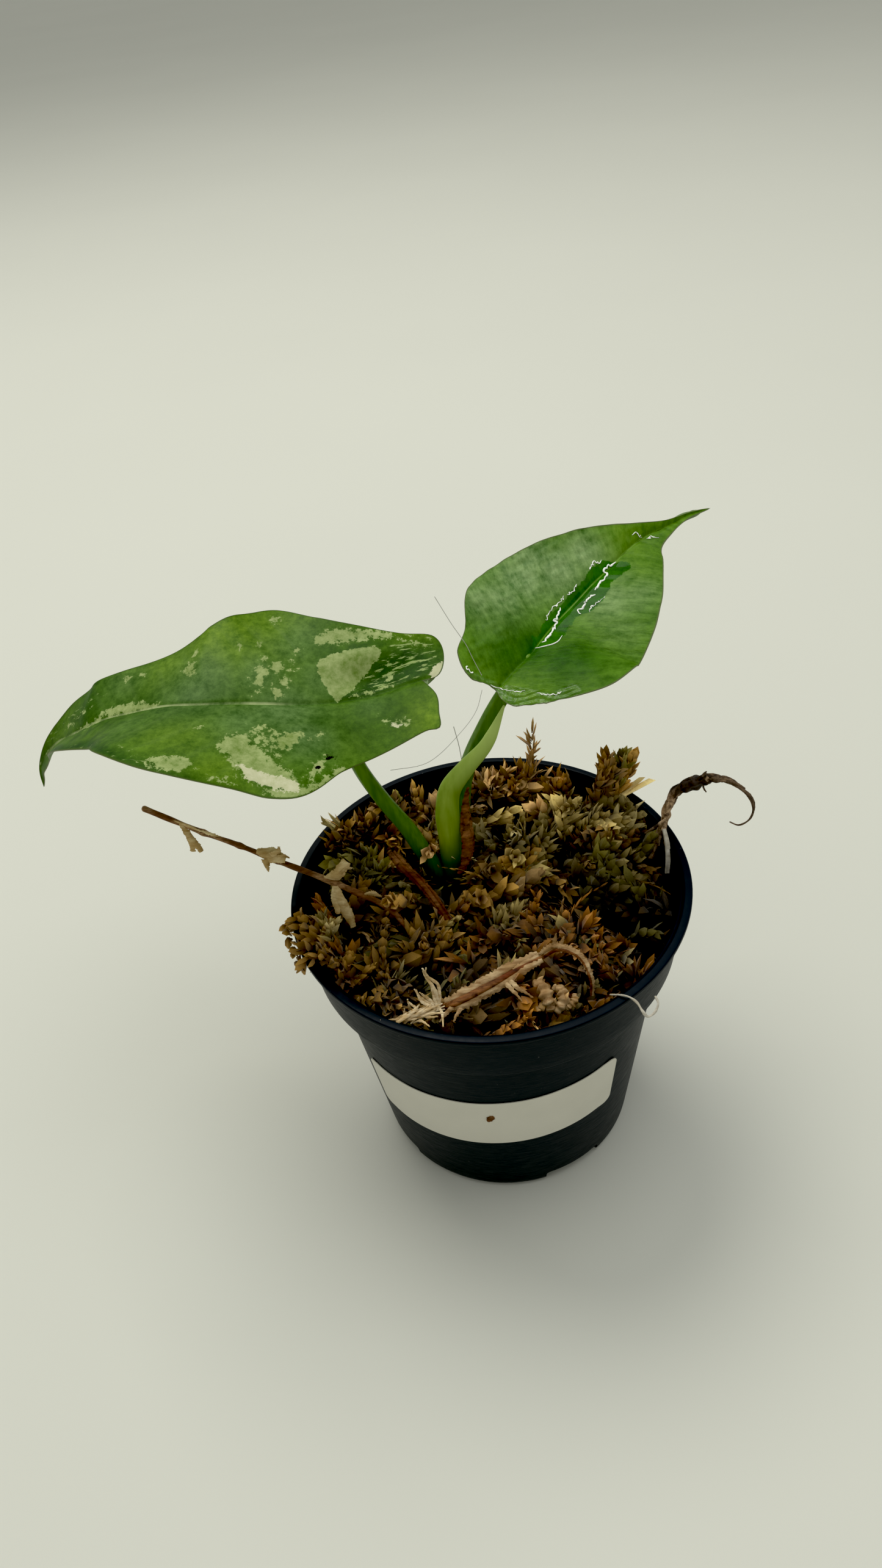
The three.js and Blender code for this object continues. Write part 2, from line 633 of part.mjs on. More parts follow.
const leftStalk = cutClear(solid(rod(LEFT_STALK, stalkShape)), [fatCorm, fatNewLeaf, fatLeftBlade]);
const rightStalk = cutClear(
  solid(rod(RIGHT_STALK, stalkShape)),
  [fatCorm, fatNewLeaf, fatLeftStalk, fatRightBlade],
);
const newLeaf = cutClear(solid(rod(NEW_LEAF, leafShape)), [fatCorm]);

const mossRandom = randomFrom(MOSS.seed);
const wholeMoss = joined([
  mossBed(),
  ...surfaceLeaflets(mossRandom),
  ...tuftLeaflets(mossRandom),
  ...rimSprigs(mossRandom),
]);
const moss = cutClear(wholeMoss, [
  fatPot,
  fatCorm,
  fatNewLeaf,
  fatLeftStalk,
  fatCrownStalk,
  solid(rod(RIGHT_STALK, grown(stalkShape))),
  branched(TWIG, TWIG.bracts, { grow: CLEARANCE }),
  branched(CURL, CURL.fibres, { grow: CLEARANCE }),
  solid(rod(WHITE_STRAND, grown({ sides: 4, steps: 6 }))),
  solid(rod(FRONT_STALK, grown(stickShape))),
]);
const curl = cutClear(branched(CURL, CURL.fibres), [fatPot]);
const whiteStrand = cutClear(
  solid(rod(WHITE_STRAND, { sides: 4, steps: 6 })),
  [fatPot, branched(CURL, CURL.fibres, { grow: CLEARANCE })],
);

// The assembly

const plant = new THREE.Group();

function addPiece(name, geometry, colour, roughness) {
  const material = new THREE.MeshStandardMaterial({ color: colour, roughness, metalness: 0 });
  const mesh = new THREE.Mesh(geometry, material);
  mesh.name = name;
  plant.add(mesh);
}

addPiece('pot', potGeometry(), 0x1b2124, 0.45);
addPiece('label', labelGeometry(), 0xb9b8a6, 0.5);
addPiece('sphagnum_moss', geometryFromSolid(moss), 0x8a6f42, 0.95);
addPiece('corm_with_roots', geometryFromSolid(cormSolid()), 0x8b6a46, 0.8);
addPiece('left_stalk', geometryFromSolid(leftStalk), 0x3f6a2b, 0.45);
addPiece('left_blade', bladeGeometry(LEFT_BLADE), 0x4f7a3a, 0.4);
addPiece('right_stalk', geometryFromSolid(rightStalk), 0x4a7a2e, 0.45);
addPiece('right_blade', bladeGeometry(RIGHT_BLADE), 0x4d7f3c, 0.35);
addPiece('new_leaf', geometryFromSolid(newLeaf), 0x86a83f, 0.45);
addPiece('dry_twig', geometryFromSolid(branched(TWIG, TWIG.bracts)), 0x8a6248, 0.8);
addPiece('curled_root', geometryFromSolid(curl), 0x7a5a42, 0.85);
addPiece('white_strand', geometryFromSolid(whiteStrand), 0xb8b2a8, 0.7);
addPiece('crown_stalk', rod(CROWN_STALK, stickShape), 0x7d4a2c, 0.8);
addPiece('front_stalk', rod(FRONT_STALK, stickShape), 0xa98a6a, 0.8);

export default plant;
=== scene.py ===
# %% [markdown]
# # A variegated alocasia in a nursery pot
# The real object is a young aroid in a black plastic nursery pot, planted in dried sphagnum
# moss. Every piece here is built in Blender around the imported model, in metres, with the pot's
# axis on Z, the bare label facing -Y and the foot at z = 0. Sizes are given in millimetres, as
# a grower would measure them, and MM turns them to metres.

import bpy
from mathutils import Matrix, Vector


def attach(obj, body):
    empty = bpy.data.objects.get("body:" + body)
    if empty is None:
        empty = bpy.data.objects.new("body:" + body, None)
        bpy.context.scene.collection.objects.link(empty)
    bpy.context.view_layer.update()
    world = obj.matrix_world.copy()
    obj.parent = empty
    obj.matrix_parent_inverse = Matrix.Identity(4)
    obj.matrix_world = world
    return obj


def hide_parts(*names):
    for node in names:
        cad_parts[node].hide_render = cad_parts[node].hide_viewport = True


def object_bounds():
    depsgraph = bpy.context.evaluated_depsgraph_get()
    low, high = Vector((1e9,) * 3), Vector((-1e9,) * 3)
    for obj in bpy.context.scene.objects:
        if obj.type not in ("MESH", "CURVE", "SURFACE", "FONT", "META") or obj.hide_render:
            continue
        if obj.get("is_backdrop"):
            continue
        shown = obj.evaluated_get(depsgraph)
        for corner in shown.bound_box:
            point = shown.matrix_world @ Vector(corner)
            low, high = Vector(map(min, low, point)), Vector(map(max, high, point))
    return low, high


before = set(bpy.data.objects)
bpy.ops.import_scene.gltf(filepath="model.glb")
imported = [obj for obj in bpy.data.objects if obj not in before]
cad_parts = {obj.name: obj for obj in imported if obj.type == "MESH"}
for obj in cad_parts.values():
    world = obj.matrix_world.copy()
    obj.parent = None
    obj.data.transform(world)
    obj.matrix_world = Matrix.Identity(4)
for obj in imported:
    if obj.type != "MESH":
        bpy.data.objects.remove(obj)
cad_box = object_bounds()
print("nodes:", sorted(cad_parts))

# %% Modules and units
import bpy
import math
import numpy as np
from mathutils import Matrix, Vector

MM = 0.001

# %% [markdown]
# ## Small tools
# An operator acts on all that is selected, so every step starts by deselecting. Most soft
# pieces of a plant are sheets: a blade, a bract, the skin of a stalk. Each of them starts as a
# flat grid primitive whose points are then moved by a formula, as a sheet of paper is rolled
# or bent. What is left of a seam is merged, and the normals are turned outward.

# %% Selecting, naming and finishing
def deselect():
    if bpy.context.mode != "OBJECT":
        bpy.ops.object.mode_set(mode="OBJECT")
    bpy.ops.object.select_all(action="DESELECT")


def activate(*objects):
    deselect()
    for thing in objects:
        thing.select_set(True)
    bpy.context.view_layer.objects.active = objects[0]


def apply_modifier(piece, kind, **settings):
    activate(piece)
    modifier = piece.modifiers.new(kind.title(), kind)
    for key, value in settings.items():
        setattr(modifier, key, value)
    bpy.ops.object.modifier_apply(modifier=modifier.name)


def close_seams(piece, distance=0.002 * MM):
    activate(piece)
    bpy.ops.object.mode_set(mode="EDIT")
    bpy.ops.mesh.select_all(action="SELECT")
    bpy.ops.mesh.remove_doubles(threshold=distance)
    bpy.ops.mesh.dissolve_degenerate(threshold=distance / 2)
    bpy.ops.mesh.normals_make_consistent(inside=False)
    bpy.ops.object.mode_set(mode="OBJECT")


def join_as(name, pieces):
    activate(*pieces)
    bpy.ops.object.join()
    bpy.context.object.name = name
    bpy.context.object.data.name = name
    return bpy.context.object


def dress(piece, *materials):
    piece.data.materials.clear()
    for material in materials:
        piece.data.materials.append(material)


def hand_over(piece, material, slot, *nodes, smooth=40):
    """Dresses a piece, unless it is dressed, hangs it under the root and hides the imported nodes
    that it stands for.
    """
    if material:
        dress(piece, material)
    activate(piece)
    bpy.ops.object.transform_apply(location=True, rotation=True, scale=True)
    bpy.ops.object.shade_smooth_by_angle(angle=math.radians(smooth))
    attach(piece, "root")
    if nodes:
        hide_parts(*nodes)
    print(f"{piece.name}: {len(piece.data.polygons)} faces")


# %% Grids that are bent by a formula
STATIONS, DOME = 600, 5  # fine stations along a path, and rows in the rounded end of a rod


def points_of(piece):
    found = np.empty(len(piece.data.vertices) * 3)
    piece.data.vertices.foreach_get("co", found)
    return found.reshape(-1, 3)


def move_points(piece, millimetres):
    piece.data.vertices.foreach_set("co", (millimetres * MM).ravel())
    piece.data.update()


def note(piece, name, values):
    """Keeps one number or vector for each point, for the material to read."""
    kind = "FLOAT_VECTOR" if np.ndim(values) == 2 else "FLOAT"
    layer = piece.data.attributes.new(name, kind, "POINT")
    key = "vector" if np.ndim(values) == 2 else "value"
    layer.data.foreach_set(key, np.asarray(values, np.float32).ravel())


def bent_grid(name, columns, rows, shape):
    """A grid; shape(u, v) gives each point's place in mm, u and v running from 0 to 1."""
    deselect()
    bpy.ops.mesh.primitive_grid_add(x_subdivisions=columns, y_subdivisions=rows, size=1)
    piece = bpy.context.object
    piece.name = name
    piece.data.name = name
    flat = points_of(piece)
    move_points(piece, shape(flat[:, 0] + 0.5, flat[:, 1] + 0.5))
    return piece


def sample(at, knots, rows):
    """Interpolates every column of rows, which are known at the knots."""
    return np.column_stack([np.interp(at, knots, column) for column in rows.T])


def evenly(share, values):
    """Interpolates between values that lie evenly over shares from 0 to 1."""
    return np.interp(share * (len(values) - 1), range(len(values)), values)


def smooth_path(points, count):
    """Evenly spaced points on a centripetal curve through the given ones, and its length."""
    p = np.asarray(points, float)
    p = np.vstack([2 * p[0] - p[1], p, 2 * p[-1] - p[-2]])
    spans = []
    for a, b, c, d in zip(p, p[1:], p[2:], p[3:]):
        knots = np.cumsum([0, *(np.linalg.norm(n - m) ** 0.5 for m, n in ((a, b), (b, c), (c, d)))])
        t = np.linspace(knots[1], knots[2], 40, endpoint=False)[:, None]

        def between(m, n, low, high):
            return ((high - t) * m + (t - low) * n) / (high - low)

        ab = between(a, b, knots[0], knots[1])
        bc = between(b, c, knots[1], knots[2])
        cd = between(c, d, knots[2], knots[3])
        abc = between(ab, bc, knots[0], knots[2])
        bcd = between(bc, cd, knots[1], knots[3])
        spans.append(between(abc, bcd, knots[1], knots[2]))
    dense = np.vstack([*spans, p[-2:-1]])
    run = np.r_[0, np.cumsum(np.linalg.norm(np.diff(dense, axis=0), axis=1))]
    return sample(np.linspace(0, run[-1], count), run, dense), run[-1]


def unit(vectors):
    return vectors / np.maximum(np.linalg.norm(vectors, axis=-1, keepdims=True), 1e-9)


def along_path(path, shares, facing):
    """Place, tangent, sideways and facing direction at shares of a path's length."""
    dense, length = smooth_path(path, STATIONS)
    at = np.linspace(0, 1, STATIONS)
    place = sample(shares, at, dense)
    tangent = unit(sample(shares, at, unit(np.gradient(dense, axis=0))))
    wide = unit(np.cross(tangent, facing))
    return place, tangent, wide, np.cross(wide, tangent), length


def tube(name, path, radii, sides=20, steps=90, flatness=1.0, facing=(0.31, -0.9, 0.3), skin=None):
    """A grid rolled into a rod with rounded ends. skin(angle, share) scales its radius."""
    length = smooth_path(path, 2)[1]
    ends = np.sin(np.linspace(0, np.pi / 2, DOME))
    dome = 1 - np.cos(np.linspace(0, np.pi / 2, DOME))
    start, stop = radii[0] / length, radii[-1] / length
    middle = np.linspace(start, 1 - stop, steps - 2 * DOME + 1)[1:-1]
    shares = np.r_[dome * start, middle, 1 - dome[::-1] * stop]
    fullness = np.r_[ends, np.ones(len(middle)), ends[::-1]]
    rows = len(shares) - 1

    def shape(u, v):
        row = np.rint(v * rows).astype(int)
        share = shares[row]
        place, _, wide, deep, _ = along_path(path, share, facing)
        radius = evenly(share, radii) * fullness[row]
        angle = 2 * np.pi * u
        if skin:
            radius = radius * skin(angle, share)
        return (place + wide * (np.cos(angle) * radius)[:, None]
                + deep * (np.sin(angle) * radius * flatness)[:, None])

    piece = bent_grid(name, sides, rows, shape)
    note(piece, "share", shares[np.rint(points_of_grid(piece, rows) * rows).astype(int)])
    close_seams(piece)
    return piece


def points_of_grid(piece, rows):
    """The share of the rows at each point of a grid, which is laid out row by row."""
    count = len(piece.data.vertices)
    columns = count // (rows + 1)
    return (np.arange(count) // columns) / rows


def ribbon(name, path, widths, facing, cup=0.0, thickness=0.25, ragged=0.0, columns=6, steps=28):
    """A strip along a path, cupped across, with ragged edges, then given its thickness."""
    seed = np.random.default_rng(len(path) * 7 + int(abs(path[0][0]) * 31) % 97)
    wear = seed.normal(0, ragged, (2, steps + 1)) if ragged else np.zeros((2, steps + 1))

    def shape(u, v):
        place, _, wide, deep, _ = along_path(path, v, facing)
        row = np.rint(v * steps).astype(int)
        width = evenly(v, widths)
        outward = (2 * u - 1) ** 2
        across = (u - 0.5) * width + np.where(u > 0.5, wear[0][row], wear[1][row]) * outward
        lift = -cup * outward * width
        return place + wide * across[:, None] + deep * lift[:, None]

    piece = bent_grid(name, columns, steps, shape)
    note(piece, "share", points_of_grid(piece, steps))
    apply_modifier(piece, "SOLIDIFY", thickness=thickness * MM, offset=0)
    close_seams(piece)
    return piece


# %% [markdown]
# ## Materials
# A Principled shader covers every finish here. Colours are picked as sRGB hex values and turned
# to linear by one function. Patterns read Object coordinates in metres, so a noise of scale
# 1 / size has features of that real size, or they read values noted on the points of a blade.

# %% Colour and node helpers
def linear(colour):
    parts = [int(colour[i:i + 2], 16) / 255 for i in (1, 3, 5)]
    return tuple(p / 12.92 if p <= 0.04045 else ((p + 0.055) / 1.055) ** 2.4 for p in parts) + (1,)


def add(tree, kind, inputs, out=0, **settings):
    """Adds a node with its settings and links, and gives back one of its outputs.
    A colour can be given as a hex value."""
    made = tree.nodes.new("ShaderNode" + kind)
    for key, value in settings.items():
        setattr(made, key, value)
    for key, value in inputs.items():
        if isinstance(value, bpy.types.NodeSocket):
            tree.links.new(value, made.inputs[key])
        else:
            made.inputs[key].default_value = linear(value) if isinstance(value, str) else value
    return made.outputs[out]


def new_material(name, **values):
    """A Principled material with its plain values set on the shader's own sockets, its node
    tree and its shader, and the Object coordinates that its patterns read."""
    material = bpy.data.materials.new(name)
    material.use_nodes = True
    tree = material.node_tree
    shader = tree.nodes["Principled BSDF"]
    for key, value in values.items():
        shader.inputs[key.replace("_", " ")].default_value = value
    return material, tree, shader, add(tree, "TexCoord", {}, out=3)


def plug(tree, shader, **sockets):
    for key, value in sockets.items():
        tree.links.new(value, shader.inputs[key.replace("_", " ")])


# %% [markdown]
# ## Camera, light and floor
# The photograph looks down at the plant from a little under forty degrees, and the phone was
# held a few degrees off level. A wide soft light hangs behind and above, so the shadow falls
# softly towards the front and right, and a pale surround fills the rest. The plant stands on
# matte board, so rough that it shows a shadow and no mirror image.

# %% Camera
PITCH, YAW, ROLL = 0.684, -0.044, -0.120
forward = np.array([math.sin(YAW) * math.cos(PITCH), math.cos(YAW) * math.cos(PITCH),
                    -math.sin(PITCH)])
level = np.array([math.cos(YAW), -math.sin(YAW), 0])
upright = np.cross(level, forward)
right = math.cos(ROLL) * level + math.sin(ROLL) * upright
top = math.cos(ROLL) * upright - math.sin(ROLL) * level

deselect()
bpy.ops.object.camera_add(location=(0, -220.341 * MM, 303.894 * MM))
camera = bpy.context.object
turn = np.column_stack([right, top, -forward])
camera.rotation_euler = Matrix(turn.tolist()).to_euler()
camera.data.sensor_fit = "VERTICAL"
camera.data.sensor_height = 36
camera.data.lens = 26.0
camera.data.clip_start = 0.01
camera.data.clip_end = 100
bpy.context.scene.camera = camera
print(f"camera: {math.degrees(PITCH):.1f} degrees down, {math.degrees(-ROLL):.1f} off level")

# %% Light and floor
def soft_light(name, place, aim, size, watts, colour):
    deselect()
    bpy.ops.object.light_add(type="AREA", location=place)
    lamp = bpy.context.object
    lamp.name = name
    lamp.data.shape = "DISK"
    lamp.data.size = size
    lamp.data.energy = watts
    lamp.data.color = linear(colour)[:3]
    lamp.rotation_euler = (Vector(aim) - Vector(place)).to_track_quat("-Z", "Y").to_euler()
    print(f"{name}: {watts} W, {size} m wide")


soft_light("back_softbox", (-0.45, 0.75, 1.75), (0, 0, 0.08), 1.1, 17, "#fffdf6")
soft_light("top_softbox", (0.4, -0.1, 1.7), (0, 0, 0.1), 1.2, 6, "#fbfdff")

world = bpy.data.worlds.new("pale_room")
bpy.context.scene.world = world
world.use_nodes = True
world.node_tree.nodes["Background"].inputs["Color"].default_value = linear("#f2f3ee")
world.node_tree.nodes["Background"].inputs["Strength"].default_value = 0.5

view = bpy.context.scene.view_settings
view.view_transform = "Standard"
view.use_curve_mapping = True
view.curve_mapping.black_level = (0.012, 0.012, 0.013)
view.curve_mapping.update()

deselect()
bpy.ops.mesh.primitive_plane_add(size=24)
floor = bpy.context.object
floor.name = "floor"
floor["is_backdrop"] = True
material, tree, shader, place = new_material("matte_white_board", Roughness=0.9)
cloudy = add(tree, "TexNoise", {"Vector": place, "Scale": 3.0, "Detail": 3.0})
tone = add(tree, "MixRGB", {0: cloudy, 1: "#d3d4c9", 2: "#d8d9ce"})
plug(tree, shader, Base_Color=tone)
dress(floor, material)

# %% [markdown]
# ## The nursery pot
# The real pot is injection-moulded black polypropylene: a thin upright lip, a collar that
# steps in to a tapering body, and a rounded foot with drain notches. A disc is extruded and
# scaled from ring to ring, up the outside, over the lip and down the inside, as it would be
# turned, which leaves one closed shell. Box cutters then take out the notches.

# %% Pot shell
def raised_rings(name, rings, sides):
    """A disc extruded and scaled from ring to ring, each (radius, z) in mm."""
    (radius, z), *others = rings
    deselect()
    bpy.ops.mesh.primitive_circle_add(vertices=sides, radius=radius * MM, fill_type="NGON",
                                      location=(0, 0, z * MM))
    piece = bpy.context.object
    piece.name = name
    piece.data.name = name
    bpy.ops.object.mode_set(mode="EDIT")
    bpy.ops.mesh.select_all(action="SELECT")
    for wider, higher in others:
        rise = {"value": (0, 0, (higher - z) * MM)}
        bpy.ops.mesh.extrude_region_move(TRANSFORM_OT_translate=rise)
        grow = wider / radius
        bpy.ops.transform.resize(value=(grow, grow, 1), center_override=(0, 0, 0))
        radius, z = wider, higher
    bpy.ops.mesh.select_all(action="SELECT")
    bpy.ops.mesh.normals_make_consistent(inside=False)
    bpy.ops.object.mode_set(mode="OBJECT")
    print(f"{name}: {len(rings)} rings of {sides} points")
    return piece


def rounded(centre, radius, start, stop, count=4):
    """Stations round a small arc of an edge, angles in degrees from outward to up."""
    angles = np.radians(np.linspace(start, stop, count))
    return [(centre[0] + radius * math.cos(a), centre[1] + radius * math.sin(a)) for a in angles]


BODY_FOOT, BODY_TOP, FOOT_ROUND, STEP_Z = 37.8, 46.7, 3.0, 71.1


def body_radius(z):
    """The outer radius of the tapering body at a height, in mm."""
    return BODY_FOOT + (BODY_TOP - BODY_FOOT) * (z - FOOT_ROUND) / (STEP_Z - FOOT_ROUND)


outside = [
    (34.8, 0), *rounded((34.8, FOOT_ROUND), FOOT_ROUND, -75, 0, 5),
    *[(body_radius(z), z) for z in (20, 37, 54, 66, 70.6)],
    (46.9, 70.95), (47.3, STEP_Z), *rounded((49.9, 71.6), 0.5, -90, 0, 4),
    (50.75, 75), (51.3, 80), (51.75, 85), (51.92, 86.8), (52.15, 87.2), (52.5, 87.3),
]
lip = [*rounded((53.6, 87.7), 0.4, -90, 0, 4), *rounded((53.6, 88.4), 0.4, 0, 90, 4),
       *rounded((52.2, 88.4), 0.4, 90, 180, 4)]
inside = [(51.3, 87.9), (50.8, 87.6), (50.4, 84), (49.3, 73), (49.1, 72.4), (48.6, 72.2),
          (46, 71.9), (45.5, 71.3), (41, 37), (36.7, 5), (36.2, 3), (35, 1.9), (33.4, 1.6),
          (12, 1.6)]
pot = raised_rings("nursery_pot", outside + lip + inside, 144)

# %% Drain notches
def cutter_box(azimuth, width, depth, tall, inner):
    """A box that starts inner mm from the axis and reaches tall mm above the table."""
    deselect()
    angle = math.radians(azimuth)
    middle = inner + depth / 2
    spot = (middle * math.sin(angle) * MM, -middle * math.cos(angle) * MM, 0)
    bpy.ops.mesh.primitive_cube_add(size=1, location=spot, rotation=(0, 0, angle))
    box = bpy.context.object
    box.scale = (width * MM, depth * MM, 2 * tall * MM)
    bpy.ops.object.transform_apply(location=True, rotation=True, scale=True)
    apply_modifier(box, "BEVEL", width=0.9 * MM, segments=2)
    return box


cutters = join_as("cutters", [cutter_box(27.5 + 90 * k, 18, 26, 4.4, 28) for k in range(4)])
apply_modifier(pot, "BOOLEAN", object=cutters, operation="DIFFERENCE", solver="EXACT")
bpy.data.objects.remove(cutters)
print(f"{pot.name}: {len(pot.data.polygons)} faces with its notches")

# %% [markdown]
# Moulded polypropylene is near black with a cool tint. The collar is a little duller than the
# body, and handling leaves fine scuffs and pale dust, which show as softer, lighter patches.

# %% Black moulded polypropylene
material, tree, shader, place = new_material("moulded_black_polypropylene", Specular_IOR_Level=0.13)
cloud = add(tree, "TexNoise", {"Vector": place, "Scale": 60.0, "Detail": 4.0})
stretched = add(tree, "Mapping", {"Vector": place, "Scale": (1, 1, 9)})
scuff = add(tree, "TexNoise", {"Vector": stretched, "Scale": 220.0, "Detail": 5.0,
                               "Roughness": 0.65})
dust = add(tree, "TexNoise", {"Vector": place, "Scale": 900.0, "Detail": 2.0})
worn = add(tree, "MapRange", {"Value": scuff, "From Min": 0.52, "From Max": 0.75})
speck = add(tree, "MapRange", {"Value": dust, "From Min": 0.74, "From Max": 0.8})
black = add(tree, "MixRGB", {0: cloud, 1: "#050e19", 2: "#08141f"})
greyed = add(tree, "MixRGB", {0: worn, 1: black, 2: "#0d1923"})
dusty = add(tree, "MixRGB", {0: speck, 1: greyed, 2: "#4a4c4a"})
rough = add(tree, "MapRange", {"Value": scuff, "From Min": 0.3, "From Max": 0.75,
                               "To Min": 0.34, "To Max": 0.55})
grain = add(tree, "Bump", {"Height": scuff, "Strength": 0.12, "Distance": 0.0004})
plug(tree, shader, Base_Color=dusty, Roughness=rough, Normal=grain)
hand_over(pot, material, "pot_plastic", "pot", smooth=35)

# %% [markdown]
# ## The bare label
# A rectangle of satin label stock is wrapped round the body a little askew, so it follows the
# taper and its right end sits higher. It is a flat grid bent to the cone, with its corners
# rounded by drawing the edge in, and its ends lift by a hair where the glue has let go. Its
# coated paper has a faint mottle and a satin sheen, softened by a tooth of fibres.

# %% Label
LABEL = {
    "start": -58.5, "stop": 41.8,  # degrees round the pot
    "height": 22.3, "z": 39.3, "slope": 0.063, "corner": 2.6, "right_lift": 0.35, "left_lift": 0.2,
}


def label_place(u, v, lift=0.08):
    """The place of a label point: u from its left end to its right, v from its foot to its top."""
    width = body_radius(LABEL["z"]) * math.radians(LABEL["stop"] - LABEL["start"])
    corner, half = LABEL["corner"], LABEL["height"] / 2
    along = u * width
    near_end = np.maximum(0, corner - np.minimum(along, width - along))
    half_here = half - (corner - np.sqrt(np.maximum(corner**2 - near_end**2, 0)))
    z = LABEL["z"] + LABEL["slope"] * (along - width / 2) + (2 * v - 1) * half_here
    angle = np.radians(LABEL["start"] + (LABEL["stop"] - LABEL["start"]) * u)
    loose_right = LABEL["right_lift"] * np.maximum(0, u - 0.94) / 0.06
    loose_left = LABEL["left_lift"] * np.maximum(0, 0.05 - u) / 0.05
    away = lift + loose_right + loose_left
    radius = body_radius(z) + away + 0.03 * np.sin(u * 31) * np.sin(v * 7)
    return np.column_stack([radius * np.sin(angle), -radius * np.cos(angle), z])


def spread_ends(t, share):
    """Crowds grid lines towards both ends, so that the round corners are smooth."""
    return t + share * np.sin(2 * np.pi * t) / (-2 * np.pi)


label = bent_grid("bare_label", 120, 24, lambda u, v: label_place(spread_ends(u, 0.85), v))
apply_modifier(label, "SOLIDIFY", thickness=0.22 * MM, offset=1)
close_seams(label)
material, tree, shader, place = new_material("satin_label_stock", IOR=1.45)
mottle = add(tree, "TexNoise", {"Vector": place, "Scale": 90.0, "Detail": 5.0})
fibre = add(tree, "TexNoise", {"Vector": place, "Scale": 1500.0, "Detail": 3.0})
tone = add(tree, "MixRGB", {0: mottle, 1: "#d0cdbf", 2: "#dbd8ca"})
rough = add(tree, "MapRange", {"Value": mottle, "To Min": 0.34, "To Max": 0.5})
tooth = add(tree, "Bump", {"Height": fibre, "Strength": 0.15, "Distance": 0.00015})
plug(tree, shader, Base_Color=tone, Roughness=rough, Normal=tooth)
hand_over(label, material, "label_paper", "label", smooth=40)

# %% [markdown]
# ## The two leaf blades
# An alocasia blade is peltate: its stalk joins it inside the outline, and the main veins leave
# from there. So the grid becomes a fan. One side of it is the outline, the opposite side
# shrinks to the joint, and the fan is then bent over the midrib's curve. The flat leaf is
# measured in mm from the joint: along towards the tip, and across from the midrib.

# %% Flat outlines and midribs of the two blades
LEFT_BLADE = {
    "midrib": [
        (-12.4, 23.0, 140.4), (-34.6, 19.5, 138.5), (-52.9, 16.1, 142.6), (-70.3, 15.7, 144.7),
        (-90.3, 21.0, 140.4), (-103.5, 23.3, 135.1), (-114.9, 30.0, 125.8), (-122.2, 32.3, 116.9),
        (-123.6, 32.5, 110.0),
    ],
    "joint": 22.6,
    "near": [
        (-22.6, 0), (-25.1, 6.9), (-24.4, 13), (-23.4, 18), (-20, 17.4), (-10, 19.8), (2, 24.9),
        (14, 34.6), (26, 31.6), (38, 29.4), (50, 23.7), (62, 15.9), (72, 9.6), (82, 6.7),
        (90, 4.3), (97, 3), (107.5, 0),
    ],
    "far": [
        (-22.6, 0), (-27.4, -0.7), (-30.2, -8), (-28.7, -15), (-20.8, -17), (-10, -22.1),
        (2, -27.8), (14, -34.2), (26, -31.4), (38, -25.4), (50, -19.8), (62, -15.6),
        (72, -14.2), (82, -11), (90, -4.6), (97, -1.6), (107.5, 0),
    ],
    "twist": (-0.307, 0.276, 1.816, -2.741),
    "rise": (0.217, 0.233, -0.244),
    "arch": 0.0045,
    "wave": (1.6, 42, 0.6, 2.4, 32),
}
RIGHT_BLADE = {
    "midrib": [
        (6.4, 19.0, 137.9), (17.1, 29.1, 143.0), (23.3, 37.3, 144.2), (37.5, 49.9, 150.4),
        (50.3, 60.7, 154.6), (57.2, 62.9, 156.3), (64.6, 67.1, 157.1), (71.1, 69.9, 156.9),
    ],
    "joint": 15.6,
    "near": [
        (-15.6, 0), (-16.2, 2.8), (-18.1, 7.8), (-15, 14.1), (-8, 17.2), (0, 23.1), (8, 24.6),
        (16, 24.6), (24, 21.7), (32, 16.8), (40, 11.3), (48, 4.9), (56, 1.5), (70.8, 0),
    ],
    "far": [
        (-15.6, 0), (-17.4, -4), (-16.8, -7.6), (-13.2, -12.4), (-8, -18), (0, -25.6), (8, -27.3),
        (16, -26.5), (24, -24.1), (32, -19.4), (40, -14), (48, -8.7), (56, -2.6), (70.8, 0),
    ],
    "twist": (0.278, -0.609, 2.243),
    "rise": (0.293, -0.284, 0.433),
    "arch": 0.005,
    "wave": (1, 30, 0.3, 1.9, 25),
}
RIB_STATIONS = 800


def outline_of(leaf, count):
    """The closed outline, from the notch round the near side to the tip and back."""
    def side(points):
        flat = [(a, b, 0) for a, b in points]
        return smooth_path(flat, count // 2 + 1)[0][:, :2]
    return np.vstack([side(leaf["near"])[:-1], side(leaf["far"])[::-1]])


for leaf in (LEFT_BLADE, RIGHT_BLADE):
    extent = np.ptp(outline_of(leaf, 200), axis=0)
    print(f"blade: {extent[0]:.0f} mm long, {extent[1]:.0f} mm wide, laid flat")


def bent_over_midrib(leaf, along, across, lift=0.0):
    """Bends flat leaf places over the midrib. lift raises them off the blade, in mm."""
    dense, length = smooth_path(leaf["midrib"], RIB_STATIONS)
    run = np.clip(along + leaf["joint"], 0, length)
    at = np.linspace(0, length, RIB_STATIONS)
    middle = sample(run, at, dense)
    tangent = unit(sample(run, at, unit(np.gradient(dense, axis=0))))
    middle += tangent * (along + leaf["joint"] - run)[:, None]
    flat_side = unit(np.cross([0, 0, 1.0], tangent))
    flat_up = np.cross(tangent, flat_side)
    twist = np.polyval(leaf["twist"][::-1], along / 100)[:, None]
    rise = np.polyval(leaf["rise"][::-1], along / 100)
    side = flat_side * np.cos(twist) + flat_up * np.sin(twist)
    up = flat_up * np.cos(twist) - flat_side * np.sin(twist)
    tall, length_of_wave, near_phase, far_phase, full_width = leaf["wave"]
    phase = np.where(across > 0, near_phase, far_phase)
    ripple = tall * np.sin(2 * np.pi * along / length_of_wave + phase) * (across / full_width) ** 2
    height = np.abs(across) * np.sin(rise) - leaf["arch"] * across**2 + ripple + lift
    return middle + side * (across * np.cos(rise))[:, None] + up * height[:, None]


